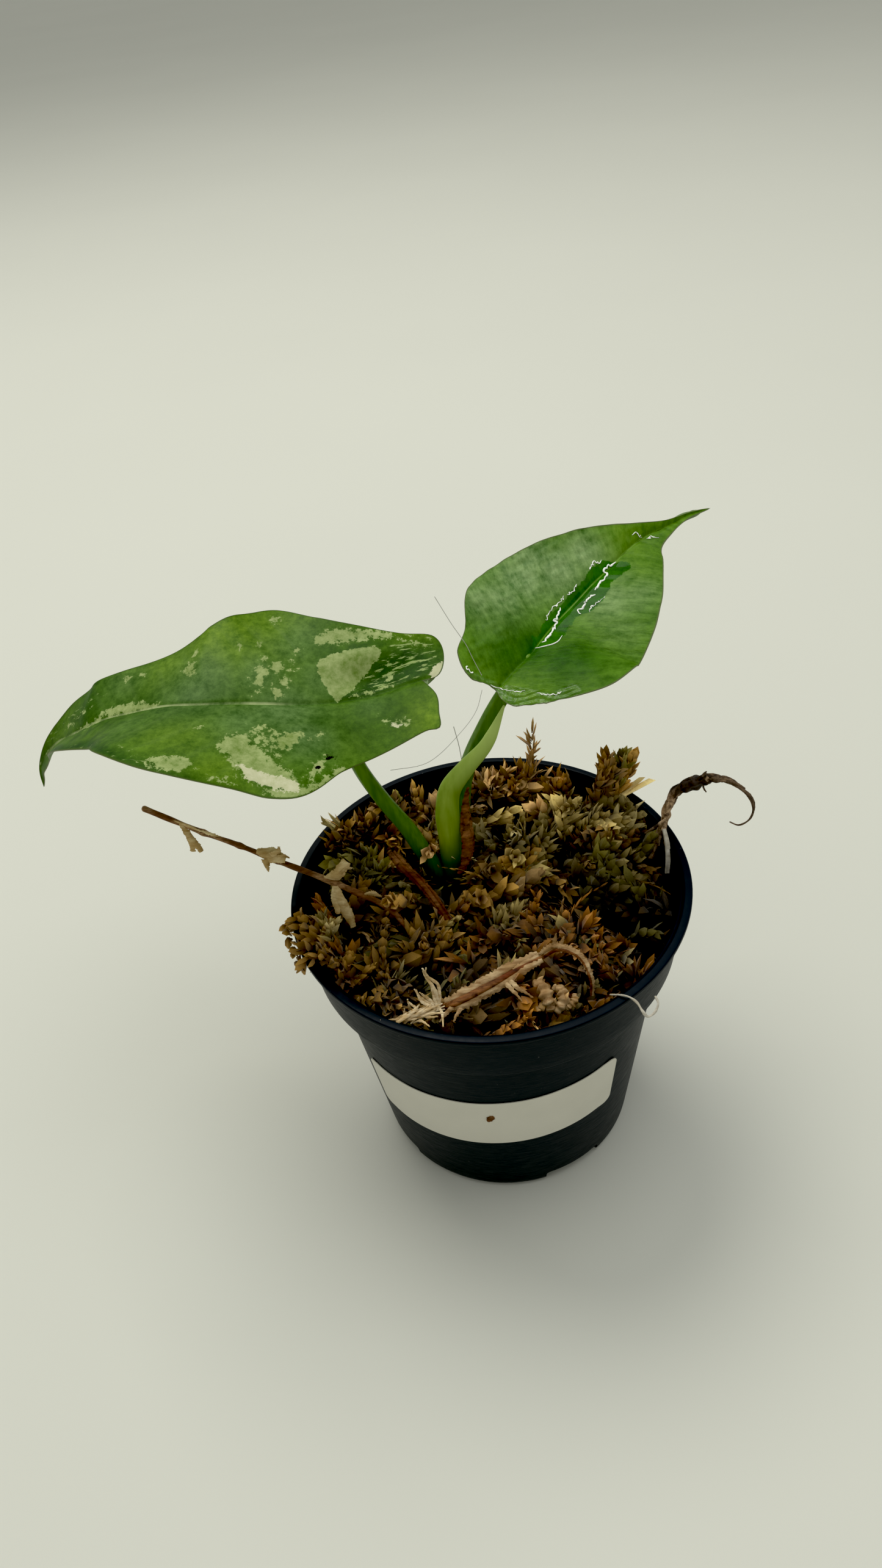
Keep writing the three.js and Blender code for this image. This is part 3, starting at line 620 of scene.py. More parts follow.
# %% [markdown]
# Side veins leave the midrib at a steep angle and curve forward to the margin, and in the basal
# lobes they fan out from the joint. One number that grows from vein to vein is enough to draw
# them: its whole values are the veins. Between them the blade puffs up a little.

# %% Side veins and the blade's fine relief
VEIN_SLOPE = 0.5  # mm forward for each mm that a vein runs out from the midrib
LOBE_VEINS = 0.25  # how strong the veins of a basal lobe are beside the others
RIB_WIDTH, RIB_DEPTH = 0.8, 0.35  # mm


def vein_number(along, across, spacing):
    reach = np.abs(across)
    forward = along - VEIN_SLOPE * reach - 0.006 * reach**2
    turned = np.arctan2(reach, along) - math.atan2(1, VEIN_SLOPE)
    backward = -np.maximum(turned, 0) * 15
    number = np.where(forward > 0, forward, np.where(turned > 0, backward, forward)) / spacing
    return number + np.where(across > 0, 0.0, 0.4)


def ridges(number):
    """1 on a vein, falling to 0 halfway to the next."""
    off = np.abs((number + 0.5) % 1 - 0.5) * 2
    return np.exp(-((off / 0.16) ** 2))


def swell(along, across, size, seed):
    """Gentle rises and falls of a few mm, as crossed waves with random headings."""
    draw = np.random.default_rng(seed)
    total = np.zeros_like(along)
    for _ in range(7):
        heading, phase = draw.uniform(0, 2 * np.pi, 2)
        wave = 2 * np.pi / (size * draw.uniform(0.7, 1.5))
        total += np.sin(wave * (along * math.cos(heading) + across * math.sin(heading)) + phase)
    return total / 7


def inside_by(points, polygon):
    """How far points lie inside a polygon, in mm, and less than zero outside."""
    a = np.asarray(polygon, float)
    b = np.roll(a, -1, axis=0)
    edge = b - a
    rel = points[:, None] - a[None]
    t = np.clip((rel * edge).sum(2) / (edge**2).sum(1), 0, 1)
    gap = np.linalg.norm(rel - t[..., None] * edge, axis=2).min(1)
    crosses = (a[:, 1] > points[:, None, 1]) != (b[:, 1] > points[:, None, 1])
    with np.errstate(divide="ignore", invalid="ignore"):
        at = a[:, 0] + (points[:, None, 1] - a[:, 1]) * edge[:, 0] / edge[:, 1]
    odd = (crosses & (points[:, None, 0] < at)).sum(1) % 2 == 1
    return np.where(odd, gap, -gap)


def fan_blade(name, leaf, spokes, rings, spacing, vein_depth, puff, seed, extra=None):
    """A blade as a fan of spokes and rings round its joint, with veins every spacing mm pressed
    in by vein_depth mm, and soft swells of puff mm. Its flat places are given back with it."""
    outline = outline_of(leaf, spokes)
    flat = {}

    def shape(u, v):
        spoke = np.rint(u * spokes).astype(int) % spokes
        share = v**0.85
        edge = outline[spoke]
        along, across = edge[:, 0] * share, edge[:, 1] * share
        number = vein_number(along, across, spacing)
        inward = np.clip((1 - share) * 6, 0, 1) * np.clip(share * 2.5 - 0.5, 0, 1)
        inward *= np.where(along > VEIN_SLOPE * np.abs(across), 1, LOBE_VEINS)
        vein = ridges(number) * inward
        rib = np.exp(-((across / RIB_WIDTH) ** 2)) * np.clip((100 - along) / 40, 0, 1)
        lift = puff * swell(along, across, 14, seed) * np.clip(share * 3, 0, 1)
        quilt = 0.6 * np.sin(np.pi * (number % 1)) ** 2 - 1
        lift += vein_depth * quilt * inward - RIB_DEPTH * rib
        if extra:
            lift += extra(along, across, share)
        flat.update(along=along, across=across, share=share, vein=vein, rib=rib)
        return bent_over_midrib(leaf, along, across, lift)

    piece = bent_grid(name, spokes, rings, shape)
    note(piece, "along", flat["along"])
    note(piece, "across", flat["across"])
    note(piece, "vein", flat["vein"])
    note(piece, "rimward", flat["share"])
    return piece, np.column_stack([flat["along"], flat["across"]]), flat


THIN, THICK = 0.42, 1.5  # mm, of the blade between its veins and along its midrib


def thicken(piece, flat, thin, thick, *materials):
    """Gives the blade its thickness below its face, more along the ribs than at the margin."""
    dress(piece, *materials)
    group = piece.vertex_groups.new(name="thickness")
    least = thin / thick
    bulk = np.clip(least + (1 - least) * np.maximum(flat["rib"], 0.35 * flat["vein"]), 0, 1)
    bulk = np.where(flat["share"] > 0.97, least * 0.7, bulk)
    for index, weight in enumerate(bulk):
        group.add([index], float(weight), "REPLACE")
    close_seams(piece)
    if sum(face.normal.z * face.area for face in piece.data.polygons) < 0:
        piece.data.flip_normals()
    apply_modifier(piece, "SOLIDIFY", thickness=thick * MM, offset=-1, vertex_group="thickness",
                   material_offset=1, material_offset_rim=2)
    close_seams(piece)
    faces = [0] * len(materials)
    for face in piece.data.polygons:
        faces[face.material_index] += 1
    print(f"{piece.name}: faces of the face, underside and margin", faces)


# %% [markdown]
# ## The variegated leaf
# Variegation is cell layers without chlorophyll, so it comes as sharp-edged patches in a few
# steps: deep green, grey-green where a pale layer lies under a green one, yellow-green, and
# cream where no layer is green. Each patch is noted on the blade as how far a point lies inside
# it, and the material breaks that edge up with noise down to flecks of a third of a millimetre.

# %% Where the pale patches lie
# Each patch: its outline, then how far it swells, then how firm its edge is against the noise.
PALE_PATCHES = [
    ([(0, 0), (4, -9.5), (3, -12.5), (-1, -14), (-8.5, -14), (-13.5, -13), (-14.5, -11), (-10, -8),
      (-6.5, -5.5), (-3, -2)], 0.6, 3),
    ([(4, -20), (-1, -23), (-8.5, -21), (-16.5, -18.5), (-19, -15.5), (-15.5, -15.5), (-9, -17),
      (-2.5, -17.5), (2.5, -18)], -0.2, 0.9),
    ([(28, 17), (26, 14.5), (23, 14.5), (20, 20.5), (17.5, 24), (14.5, 27.5), (13, 32), (14.5, 33),
      (17.5, 31), (21, 29.5), (23.5, 28), (24.5, 23.5), (27, 21)], 0.5, 1),
    ([(23, 10.5), (18.5, 9), (15.5, 13), (10.5, 11.5), (13.5, 18), (17, 21), (15.5, 26), (19.5, 25),
      (21.5, 20.5)], -0.35, 0.1),
    ([(16.5, 15.5), (13.5, 12.5), (11.5, 13), (13.5, 17), (15.5, 19)], 0.2, 1.4),
    ([(9.5, 23.5), (5.5, 19.5), (7, 24.5), (10, 29), (12, 29.5)], -0.5, 0.8),
    ([(38.5, 26), (37, 24.5), (34.5, 24), (32.5, 25), (33.5, 27), (36.5, 28), (38, 27.5)], 0.4, 1),
    ([(46, 21), (40, 26), (30, 30), (24, 31), (24, 28.5), (32, 27.5), (40, 23.5)], -0.9, 0.3),
    ([(47, -0.5), (53, -3), (57.5, -3.5), (63, -3), (66, -1.5), (59.5, -0.5), (52, 0.2)], -0.1, 1),
    ([(68, -6), (73.5, -5.5), (78.5, -5), (84, -3), (78, -3.4), (72, -4.2)], -0.7, 0.6),
    ([(62.5, 0.8), (67.5, -0.6), (75, -0.4), (75, 1.2), (68, 1.2)], -0.4, 0.7),
    ([(-9, 9), (-12.5, 12), (-16.5, 14), (-17, 13), (-13, 11), (-10, 8.6)], -0.3, 0.8),
    ([(20, 31), (17.5, 33.6), (15, 35), (13, 34.6), (10, 32.4), (6, 29), (1, 24), (2, 23.4),
      (10, 30), (14, 32.4)], 0.1, 1),
    ([(-27, -9), (-20, -14), (-16, -14.6), (-17, -16), (-24, -16.5), (-28, -14)], -0.9, 0.3),
    ([(-3, -1), (-6.5, -1.6), (-11, -2.1), (-15, -1.6), (-11, -1.4), (-6, -0.9)], 0.15, 1.5),
    ([(8, -16), (22, -12), (24, -2), (14, -3), (8, -10)], -1.15, 0.1),
]
PALE_SPOTS = [
    (40.5, -12, 1.9), (39.4, -11, 1.2), (40, -17, 0.9), (14, -30, 1.3), (19, -10, 1.7),
    (19.5, -7, 1.5), (15, -11.4, 1.8), (13.7, -6.7, 0.9), (15.5, -3, 1.0), (19.5, -19, 0.5),
    (25.5, -19.5, 0.6), (8.5, -17.5, 0.8), (59.5, -12.5, 0.5), (56, -12.6, 0.6),
    (1.6, -20.5, 0.8), (18, -14, 0.6), (6, 12, 0.4), (8.5, 14.5, 0.5), (33, 12, 0.5),
    (-14.5, -4.5, 0.7),
]
CREAM_PATCHES = [
    ([(24, 24.5), (21, 26), (18.5, 27.5), (15.5, 28.5), (13.5, 30), (13.5, 33), (16.5, 32),
      (20, 30), (23, 28.5)], 0.3, 1.2),
    ([(-29, -4.4), (-28.6, -1.2), (-26, 0.6), (-25.2, -1.4), (-26.6, -3.2)], 0.6, 2),
    ([(-12, 11.4), (-14.6, 13), (-13.5, 13.4), (-11.6, 12.2)], 0.1, 1.2),
]
DEEP_PATCHES = [
    ([(-0.5, 0), (-6.5, -5), (-14.5, -10.5), (-20.5, -12.5), (-27, -9), (-28, -2), (-22, -0.5),
      (-13, 0)], 0, 1),
    ([(3, -13.5), (-2, -15.5), (-12, -15.5), (-17, -14), (-14, -13.5), (-6, -14.6)], 0, 1),
    ([(100, 3), (62, 17), (50, 25), (36, 31), (24, 34), (24, 31), (36, 28), (50, 20), (62, 10),
      (82, 3)], 0, 1),
]
# Where thin pale flecks lie along the flow of the blade: its far lobe, its tip and its margin.
FLECKED = [
    ([(-4, -2), (-12, -9.5), (-20, -14.5), (-28, -12), (-28, -3), (-20, -1)], -0.55, 0.05),
    ([(90, 4), (70, 8), (50, 20), (36, 28), (30, 32), (50, 25), (68, 13), (88, 5)], -0.9, 0.1),
    ([(104, 0), (84, -8), (72, -12), (60, -8), (76, -2), (96, 1)], -1.0, 0.1),
]


def field(points, patches, spots=(), floor_depth=-6.0):
    """The deepest that a point lies in any patch or spot, in mm, and never under a floor."""
    deepest = np.full(len(points), floor_depth)
    for polygon, gain, firm in patches:
        inside = inside_by(points, polygon)
        deepest = np.maximum(deepest, np.where(inside > 0, firm, max(firm, 1)) * inside + gain)
    for along, across, size in spots:
        deepest = np.maximum(deepest, size - np.hypot(points[:, 0] - along, points[:, 1] - across))
    return deepest


def fold_by_joint(along, across, share):
    """The dark fold behind the joint, where the far lobe dips before it rises again."""
    fold = np.exp(-(((along + 12) / 9) ** 2) - ((across + 5) / 4) ** 2)
    crest = np.exp(-(((along + 9) / 10) ** 2) - ((across + 12.5) / 3.5) ** 2)
    return -2.0 * fold + 0.9 * crest


left_blade, flat_places, flat = fan_blade(
    "variegated_blade", LEFT_BLADE, spokes=330, rings=84, spacing=9.5, vein_depth=0.18,
    puff=0.35, seed=11, extra=fold_by_joint)

# %% [markdown]
# The greens drift over the blade: yellow-green where the tissue is thin and young. By the midrib a
# grey-green sheen, where the face catches the light, is painted into the colour. Those drifts are
# soft, so a few rounded blobs are enough to place them.

# %% Drifts of tone, painted sheen and shade, and specks of the variegated leaf
def blobs(points, spots):
    """Soft round blobs, each (along, across, size in mm, strength)."""
    total = np.zeros(len(points))
    for along, across, size, strength in spots:
        away = ((points[:, 0] - along) ** 2 + (points[:, 1] - across) ** 2) / size**2
        total = np.maximum(total, strength * np.exp(-away))
    return total


SPECKS = [
    (5, 20.6, 0.6), (5.7, 21.2, 0.5), (4.3, 20.3, 0.5), (3.2, 20.1, 0.32), (5.4, 19.8, 0.42),
    (8.6, 24.6, 0.5), (8.1, 24.2, 0.36), (3.8, 21.2, 0.25),
]
left_yellow = blobs(flat_places, [
    (34, -22, 14, 1.0), (46, -14, 10, 0.6), (14, -26, 10, 0.6), (-22, 13, 7, 0.9),
    (26, -18, 12, 0.7), (-2, 15, 7, 0.3), (62, 12, 8, 0.3), (28, 29, 8, 0.6), (88, 2, 10, 0.4),
    (-25, -16, 5, 0.5), (36, 14, 8, 0.5),
])
# Painted sheen: grey-green where the face catches the light.
left_painted_sheen = blobs(flat_places, [
    (14, 3, 12, 1.0), (36, -5, 14, 0.9), (4, -7, 8, 0.7), (50, 9, 9, 0.4), (10, 13, 9, 1.0),
    (-14, -2, 5, 0.3), (60, -10, 8, 0.5), (-8, 3, 6, 0.5), (8, -20, 9, 0.7), (24, 8, 9, 0.8),
    (20, -8, 9, 0.8),
])
# Painted shade: soft blobs that darken the blade where shade falls on it.
left_shade = blobs(flat_places, [
    (-4, 12, 8, 0.6), (-14, 9, 8, 0.55), (5, 8, 4, 0.6), (60, 5, 11, 0.5), (72, -7, 8, 0.8),
    (66, 6, 8, 0.4), (46, 9, 8, 0.25), (56, 15, 6, 0.4), (44, -22, 6, 0.4), (2, -15, 3, 0.5),
    (-24, -7, 6, 0.8), (38, 5, 8, 0.4), (50, 0, 8, 0.5), (-2, -14, 3, 0.8), (94, 0, 9, 0.6),
    (30, -4, 5, 0.3),
])

# %% [markdown]
# A leaf's skin is a film of wax over living cells. It gives the eye a soft, broad sheen that
# shifts with each swell, so the specular level is low and the roughness drifts. The real cells
# are too fine to show, so they are drawn 0.4 mm wide. The underside is paler and duller, since
# its tissue is spongy, and its veins stand out.

# %% Face of the variegated leaf
def broken_edge(tree, depth, noise, spread, soft=0.1):
    """A patch: where its noted depth, shifted by noise over spread mm, is above zero."""
    shifted = add(tree, "Math", {0: noise, 1: spread, 2: depth}, operation="MULTIPLY_ADD")
    return add(tree, "MapRange", {"Value": shifted, "From Min": spread / 2 - soft,
                                  "From Max": spread / 2 + soft})


def midrib_line(tree, across, span, half_width):
    """1 along the midrib, where its span is 1, falling to 0 past half_width mm."""
    off = add(tree, "Math", {0: across}, operation="ABSOLUTE")
    line = add(tree, "MapRange", {"Value": off, "From Min": half_width, "From Max": half_width / 2})
    return add(tree, "Math", {0: line, 1: span}, operation="MULTIPLY")


material, tree, shader, place = new_material("variegated_leaf_face", Specular_IOR_Level=0.09)
fleck = add(tree, "TexNoise", {"Vector": place, "Scale": 460.0, "Detail": 7.0, "Roughness": 0.75})
drift = add(tree, "TexNoise", {"Vector": place, "Scale": 110.0, "Detail": 6.0, "Roughness": 0.65})
cells = add(tree, "TexNoise", {"Vector": place, "Scale": 2600.0, "Detail": 2.0})
flow = add(tree, "Attribute", {}, out=1, attribute_name="flow")
streak = add(tree, "TexNoise", {"Vector": flow, "Scale": 1.0, "Detail": 5.0, "Roughness": 0.65})
noted = {name: add(tree, "Attribute", {}, out=2, attribute_name=name) for name in (
    "pale", "cream", "speck", "flecked", "yellow", "grey", "deep", "vein", "rib_span", "rimward",
    "across")}

# Broad drifts carry the tone, and a grain of half a millimetre breaks them up.
broad = add(tree, "MapRange", {"Value": drift, "From Min": 0.33, "From Max": 0.67})
grain = add(tree, "MapRange", {"Value": fleck, "From Min": 0.36, "From Max": 0.64})
varied = add(tree, "Mix", {0: 0.6, 2: broad, 3: grain})
vein_share = add(tree, "Math", {0: noted["vein"], 1: 0.08}, operation="MULTIPLY")
rib_line = midrib_line(tree, noted["across"], noted["rib_span"], 0.6)
worn_rib = add(tree, "Math", {0: rib_line, 1: broad}, operation="MULTIPLY")
edge = add(tree, "MapRange", {"Value": noted["rimward"], "From Min": 0.985, "From Max": 0.996})
# The layers lie over one another from the leaf's green to its rim, each with a dark and a light.
tone = add(tree, "MixRGB", {0: varied, 1: "#224704", 2: "#577b20"})
for share, low, high in [
    (noted["yellow"], "#43690a", "#83a02c"),
    # The grey layer is a painted sheen.
    (noted["grey"], "#2d5019", "#6d8b50"),
    # The deep layer is the leaf's own deep green, with painted shade laid into it.
    (noted["deep"], "#113302", "#30590c"),
    (vein_share, "#86a060", None),
    (broken_edge(tree, noted["flecked"], streak, 6.0, 0.15), "#93a765", None),
    (broken_edge(tree, noted["pale"], fleck, 11.0), "#5f7a2c", "#a9b67a"),
    (worn_rib, "#a5b27e", None),
    (broken_edge(tree, noted["cream"], fleck, 8.0), "#adb384", "#d0cfae"),
    (broken_edge(tree, noted["speck"], fleck, 1.4, 0.05), "#0a0a05", None),
    (edge, "#3c5416", None),
]:
    layer = add(tree, "MixRGB", {0: varied, 1: low, 2: high}) if high else low
    tone = add(tree, "MixRGB", {0: share, 1: tone, 2: layer})
rough = add(tree, "MapRange", {"Value": drift, "To Min": 0.34, "To Max": 0.56})
skin = add(tree, "Bump", {"Height": cells, "Strength": 0.1, "Distance": 0.00012})
skin = add(tree, "Bump", {"Height": drift, "Strength": 0.2, "Distance": 0.0006, "Normal": skin})
plug(tree, shader, Base_Color=tone, Roughness=rough, Normal=skin)
left_face = material

# %% Undersides and margins
def leaf_underside(name, low, high, vein_tone):
    material, tree, shader, place = new_material(name, Roughness=0.55, IOR=1.42)
    drift = add(tree, "TexNoise", {"Vector": place, "Scale": 160.0, "Detail": 4.0})
    vein = add(tree, "Attribute", {}, out=2, attribute_name="vein")
    share = add(tree, "Math", {0: vein, 1: 0.6}, operation="MULTIPLY")
    tone = add(tree, "MixRGB", {0: drift, 1: low, 2: high})
    tone = add(tree, "MixRGB", {0: share, 1: tone, 2: vein_tone})
    skin = add(tree, "Bump", {"Height": vein, "Strength": 0.5, "Distance": 0.0004})
    plug(tree, shader, Base_Color=tone, Normal=skin)
    return material


left_under = leaf_underside("variegated_leaf_underside", "#5f7a44", "#839a68", "#9bab78")
right_under = leaf_underside("green_leaf_underside", "#4f7038", "#6d8a52", "#8ea46a")
leaf_margin, tree, shader, place = new_material("leaf_margin", Roughness=0.5)
worn = add(tree, "TexNoise", {"Vector": place, "Scale": 300.0, "Detail": 3.0})
plug(tree, shader, Base_Color=add(tree, "MixRGB", {0: worn, 1: "#4d5a30", 2: "#77804e"}))

# %% The variegated blade, noted, thickened and dressed
along, across = flat["along"], flat["across"]
rib_span = np.clip((along - 11) / 4, 0, 1) * np.clip((97 - along) / 10, 0, 1)
note(left_blade, "flow", np.column_stack([along * 0.22, across, across * 0]))
for name, values in {
    "pale": field(flat_places, PALE_PATCHES, PALE_SPOTS),
    "cream": field(flat_places, CREAM_PATCHES),
    "speck": field(flat_places, [], SPECKS),
    "flecked": field(flat_places, FLECKED),
    # The deep-green patches are the leaf's own colour, and the shade blobs add painted shade.
    "deep": np.maximum(np.clip(field(flat_places, DEEP_PATCHES) / 4 + 0.4, 0, 1), left_shade),
    "yellow": left_yellow,
    "grey": left_painted_sheen,
    "rib_span": rib_span,
}.items():
    note(left_blade, name, values)
    print(f"{name}: from {values.min():.1f} to {values.max():.1f}")
thicken(left_blade, flat, THIN, THICK, left_face, left_under, leaf_margin)
hand_over(left_blade, None, "left_leaf", "left_blade", smooth=60)

# %% [markdown]
# ## The green leaf
# The right leaf is cupped and holds a film of water along its midrib. The film darkens the
# blade and makes it a mirror, and its jagged edge stands up as a thin bead, painted white as a
# highlight.
# Its veins are pressed in deeper than those of the other leaf, with the tissue quilted between.

# %% The green blade
WET = [
    ([(1, 0), (3.2, 2.5), (3.5, 0.6), (10, 2.2), (16, 1.8), (21, 2.4), (26.5, 2), (30, 3),
      (34, 2.6), (36.5, 0), (38.5, -3.4), (37, -5), (33, -4.2), (30, -3.6), (27, -5.5),
      (23.5, -6), (20, -6), (15.5, -3.5), (11.5, -4), (7.5, -4.5), (3, -3)], 0.3, 1),
]
WRINKLED = [([(-18, 9), (-15.6, 3), (-12, -7.5), (-10, -14), (-5, -17), (-5.5, -19), (-12, -16),
              (-16, -9), (-19, 2)], 0.8, 1)]


def cupped_relief(along, across, share):
    """The trough by the midrib, the wrinkled hem, and the pucker round the joint."""
    points = np.column_stack([along, across])
    hem = np.clip(field(points, WRINKLED) / 1.5 + 0.5, 0, 1)
    wrinkles = np.sin(along * 2.1 + 2.4 * np.sin(across * 0.7)) * np.sin(across * 1.9 + along * 0.6)
    pucker = -1.1 * np.exp(-(along**2 + across**2) / 30)
    rough_far = 0.28 * swell(along, across * 1.6, 5, 23) * np.clip(across / 10, 0, 1)
    return 0.3 * hem * wrinkles + pucker + rough_far


right_blade, flat_places, flat = fan_blade(
    "green_blade", RIGHT_BLADE, spokes=330, rings=90, spacing=6.2, vein_depth=0.3,
    puff=0.45, seed=29, extra=cupped_relief)
for name, values in {
    "wet": field(flat_places, WET),
    "hem": field(flat_places, WRINKLED),
    "yellow": blobs(flat_places, [
        (43, 4, 8, 1.0), (-12, -4, 6, 0.8), (36, -8, 7, 0.5), (-12, -9, 5, 0.6), (60, 0, 8, 0.4),
        (-13, 12, 6, 0.4), (14, -15, 5, 0.4), (30, 17, 5, 0.5), (-4, -19, 5, 0.4),
    ]),
    # Painted sheen: grey-green where the face catches the light.
    "grey": blobs(flat_places, [
        (8, 16, 8, 0.9), (16, 16, 9, 1.0), (24, 10, 8, 1.0), (32, 8, 7, 0.9), (25, -8, 8, 0.7),
        (31, -13, 7, 0.6), (22, -2, 6, 0.4), (32, -6, 6, 0.4), (3, 20, 7, 0.8), (0, 14, 6, 0.3),
        (22, 18, 8, 0.9), (18, -17, 6, 0.3),
    ]),
    "deep": blobs(flat_places, [
        (0, 0, 8, 1.0), (-6, 4, 7, 0.8), (0, -9, 7, 0.9), (1, -14, 8, 0.8), (-8, 9, 6, 0.5),
        (9, -12, 5, 0.4), (7, -22, 5, 0.2), (48, -2, 5, 0.3), (27, -17, 5, 0.25),
    ]),
    "rib_span": np.clip(flat["along"] / 4, 0, 1) * np.clip((56 - flat["along"]) / 12, 0, 1),
}.items():
    note(right_blade, name, values)
    print(f"{name}: from {values.min():.1f} to {values.max():.1f}")
slant = flat["along"] - VEIN_SLOPE * np.abs(flat["across"])
note(right_blade, "flow", np.column_stack([slant, flat["across"] * 0.3, flat["across"] * 0]))
surface = points_of(right_blade) / MM

# %% Face of the green leaf
material, tree, shader, place = new_material("green_leaf_face", Specular_IOR_Level=0.1)
drift = add(tree, "TexNoise", {"Vector": place, "Scale": 120.0, "Detail": 6.0, "Roughness": 0.65})
fleck = add(tree, "TexNoise", {"Vector": place, "Scale": 500.0, "Detail": 6.0, "Roughness": 0.72})
cells = add(tree, "TexNoise", {"Vector": place, "Scale": 2600.0, "Detail": 2.0})
flow = add(tree, "Attribute", {}, out=1, attribute_name="flow")
brushed = add(tree, "TexNoise", {"Vector": flow, "Scale": 0.5, "Detail": 6.0, "Roughness": 0.65})
noted = {name: add(tree, "Attribute", {}, out=2, attribute_name=name) for name in (
    "yellow", "grey", "deep", "vein", "rib_span", "wet", "hem", "rimward", "across")}

broad = add(tree, "Mix", {0: 0.55, 2: drift, 3: brushed})
broad = add(tree, "MapRange", {"Value": broad, "From Min": 0.4, "From Max": 0.6})
grain = add(tree, "MapRange", {"Value": fleck, "From Min": 0.36, "From Max": 0.64})
varied = add(tree, "Mix", {0: 0.38, 2: broad, 3: grain})
vein_share = add(tree, "Math", {0: noted["vein"], 1: 0.12}, operation="MULTIPLY")
rib_line = midrib_line(tree, noted["across"], noted["rib_span"], 0.3)
rib_share = add(tree, "Math", {0: rib_line, 1: 0.5}, operation="MULTIPLY")
edge = add(tree, "MapRange", {"Value": noted["rimward"], "From Min": 0.986, "From Max": 0.996})
wet = broken_edge(tree, noted["wet"], fleck, 3.5, 0.12)
tone = add(tree, "MixRGB", {0: varied, 1: "#2f580a", 2: "#638c2c"})
for share, low, high in [
    (noted["yellow"], "#437008", "#73982a"),
    # The grey layer is a painted sheen.
    (noted["grey"], "#44692f", "#98b178"),
    (noted["deep"], "#143f00", "#2f6208"),
    (vein_share, "#7f9c58", None),
    (wet, "#164602", "#34700a"),
    (rib_share, "#7ca443", None),
    (edge, "#5c6840", None),
]:
    layer = add(tree, "MixRGB", {0: varied, 1: low, 2: high}) if high else low
    tone = add(tree, "MixRGB", {0: share, 1: tone, 2: layer})
# Water smooths the blade as well as darkening it, and the wrinkled hem is glossy too.
hem = broken_edge(tree, noted["hem"], fleck, 1.5, 0.3)
dry_rough = add(tree, "MapRange", {"Value": drift, "To Min": 0.3, "To Max": 0.5})
rough = add(tree, "Mix", {0: hem, 2: dry_rough, 3: 0.12})
rough = add(tree, "Mix", {0: wet, 2: rough, 3: 0.14})
level = add(tree, "Mix", {0: hem, 2: 0.1, 3: 0.35})
level = add(tree, "Mix", {0: wet, 2: level, 3: 0.06})
cell_relief = add(tree, "Mix", {0: wet, 2: 0.08, 3: 0.0})
skin = add(tree, "Bump", {"Height": cells, "Strength": cell_relief, "Distance": 0.00012})
relief = add(tree, "Mix", {0: wet, 2: 0.6, 3: 0.03})
skin = add(tree, "Bump", {"Height": brushed, "Strength": relief, "Distance": 0.0006,
                          "Normal": skin})
plug(tree, shader, Base_Color=tone, Roughness=rough, Specular_IOR_Level=level, Normal=skin)
thicken(right_blade, flat, THIN, THICK, material, right_under, leaf_margin)
hand_over(right_blade, None, "right_leaf", "right_blade", smooth=60)

# %% [markdown]
# The beads are water, with an index of 1.33 and a smooth surface. Each is a lumpy tube along a
# jagged line on the blade. Their white base colour is a painted highlight: stretches of them are
# solid white, and the rest is at most seven tenths clear.

# %% Beads at the edge of the water film
NEIGHBOURS = 6  # points of the face that a bead's place is weighed from


def on_surface(along, across, lift):
    """Places on the finished face of the green blade, lift mm above it."""
    found = []
    for here in np.column_stack([along, across]):
        gap = ((flat_places - here) ** 2).sum(1)
        near = np.argsort(gap)[:NEIGHBOURS]
        weight = 1 / (gap[near] + 0.01)
        found.append((surface[near] * weight[:, None]).sum(0) / weight.sum())
    raised = (bent_over_midrib(RIGHT_BLADE, along, across, 1)
              - bent_over_midrib(RIGHT_BLADE, along, across))
    return np.array(found) + lift * raised


def jagged(points, step, seed):
    """Breaks a line into short crooked runs, as a film's edge creeps over a quilted blade."""
    draw = np.random.default_rng(seed)
    flat = smooth_path([(a, b, 0) for a, b in points], max(4, int(len(points) * 5)))[0][:, :2]
    return [tuple(p) for p in flat + draw.normal(0, step, flat.shape)]


BEADS = [
    ([(3.5, -0.8), (6.5, -1.3), (10.5, -0.4), (13, 1), (15.5, 1.6)], 0.42, 1),
    ([(10, 2.6), (12.5, 3.2), (15, 3.4), (17, 2.8), (19.5, 3.2)], 0.22, 2),
    ([(16.5, -3.5), (19, -3.2), (22, -2.6), (24.5, -3)], 0.42, 3),
    ([(25.5, -2.2), (28, -2), (31, -1.2), (33.5, 0.6), (36.5, 0)], 0.4, 4),
    ([(19, -5.6), (21.5, -5.4), (23, -6), (25, -5.8)], 0.2, 5),
    ([(30, 3.2), (32, 3.7), (34, 2.9)], 0.2, 6),
    ([(20, 3), (22, 2.4), (24, 3)], 0.18, 7),
    ([(46.5, 2.5), (47.6, 1.2), (48.2, 0)], 0.16, 8),
    ([(49, -1), (50.2, -1.8), (51.5, -2.5)], 0.16, 9),
    ([(-15.4, 2), (-14, -3), (-12.2, -7)], 0.18, 10),
    ([(-11, -10.4), (-9.8, -13.4), (-7, -15.4)], 0.22, 11),
    ([(-17, 7.4), (-16.4, 9.6)], 0.26, 12),
]
beads = []
for line, radius, seed in BEADS:
    centre = on_surface(*np.transpose(jagged(line, 0.28, seed)), 0.1)
    lumpy = np.random.default_rng(seed).uniform(0.35, 0.95, 9) * radius
    beads.append(tube(f"bead_{seed}", centre, [radius * 0.3, *lumpy, radius * 0.3], sides=8,
                      steps=60, flatness=0.7, facing=(0.1, -0.35, 0.9)))
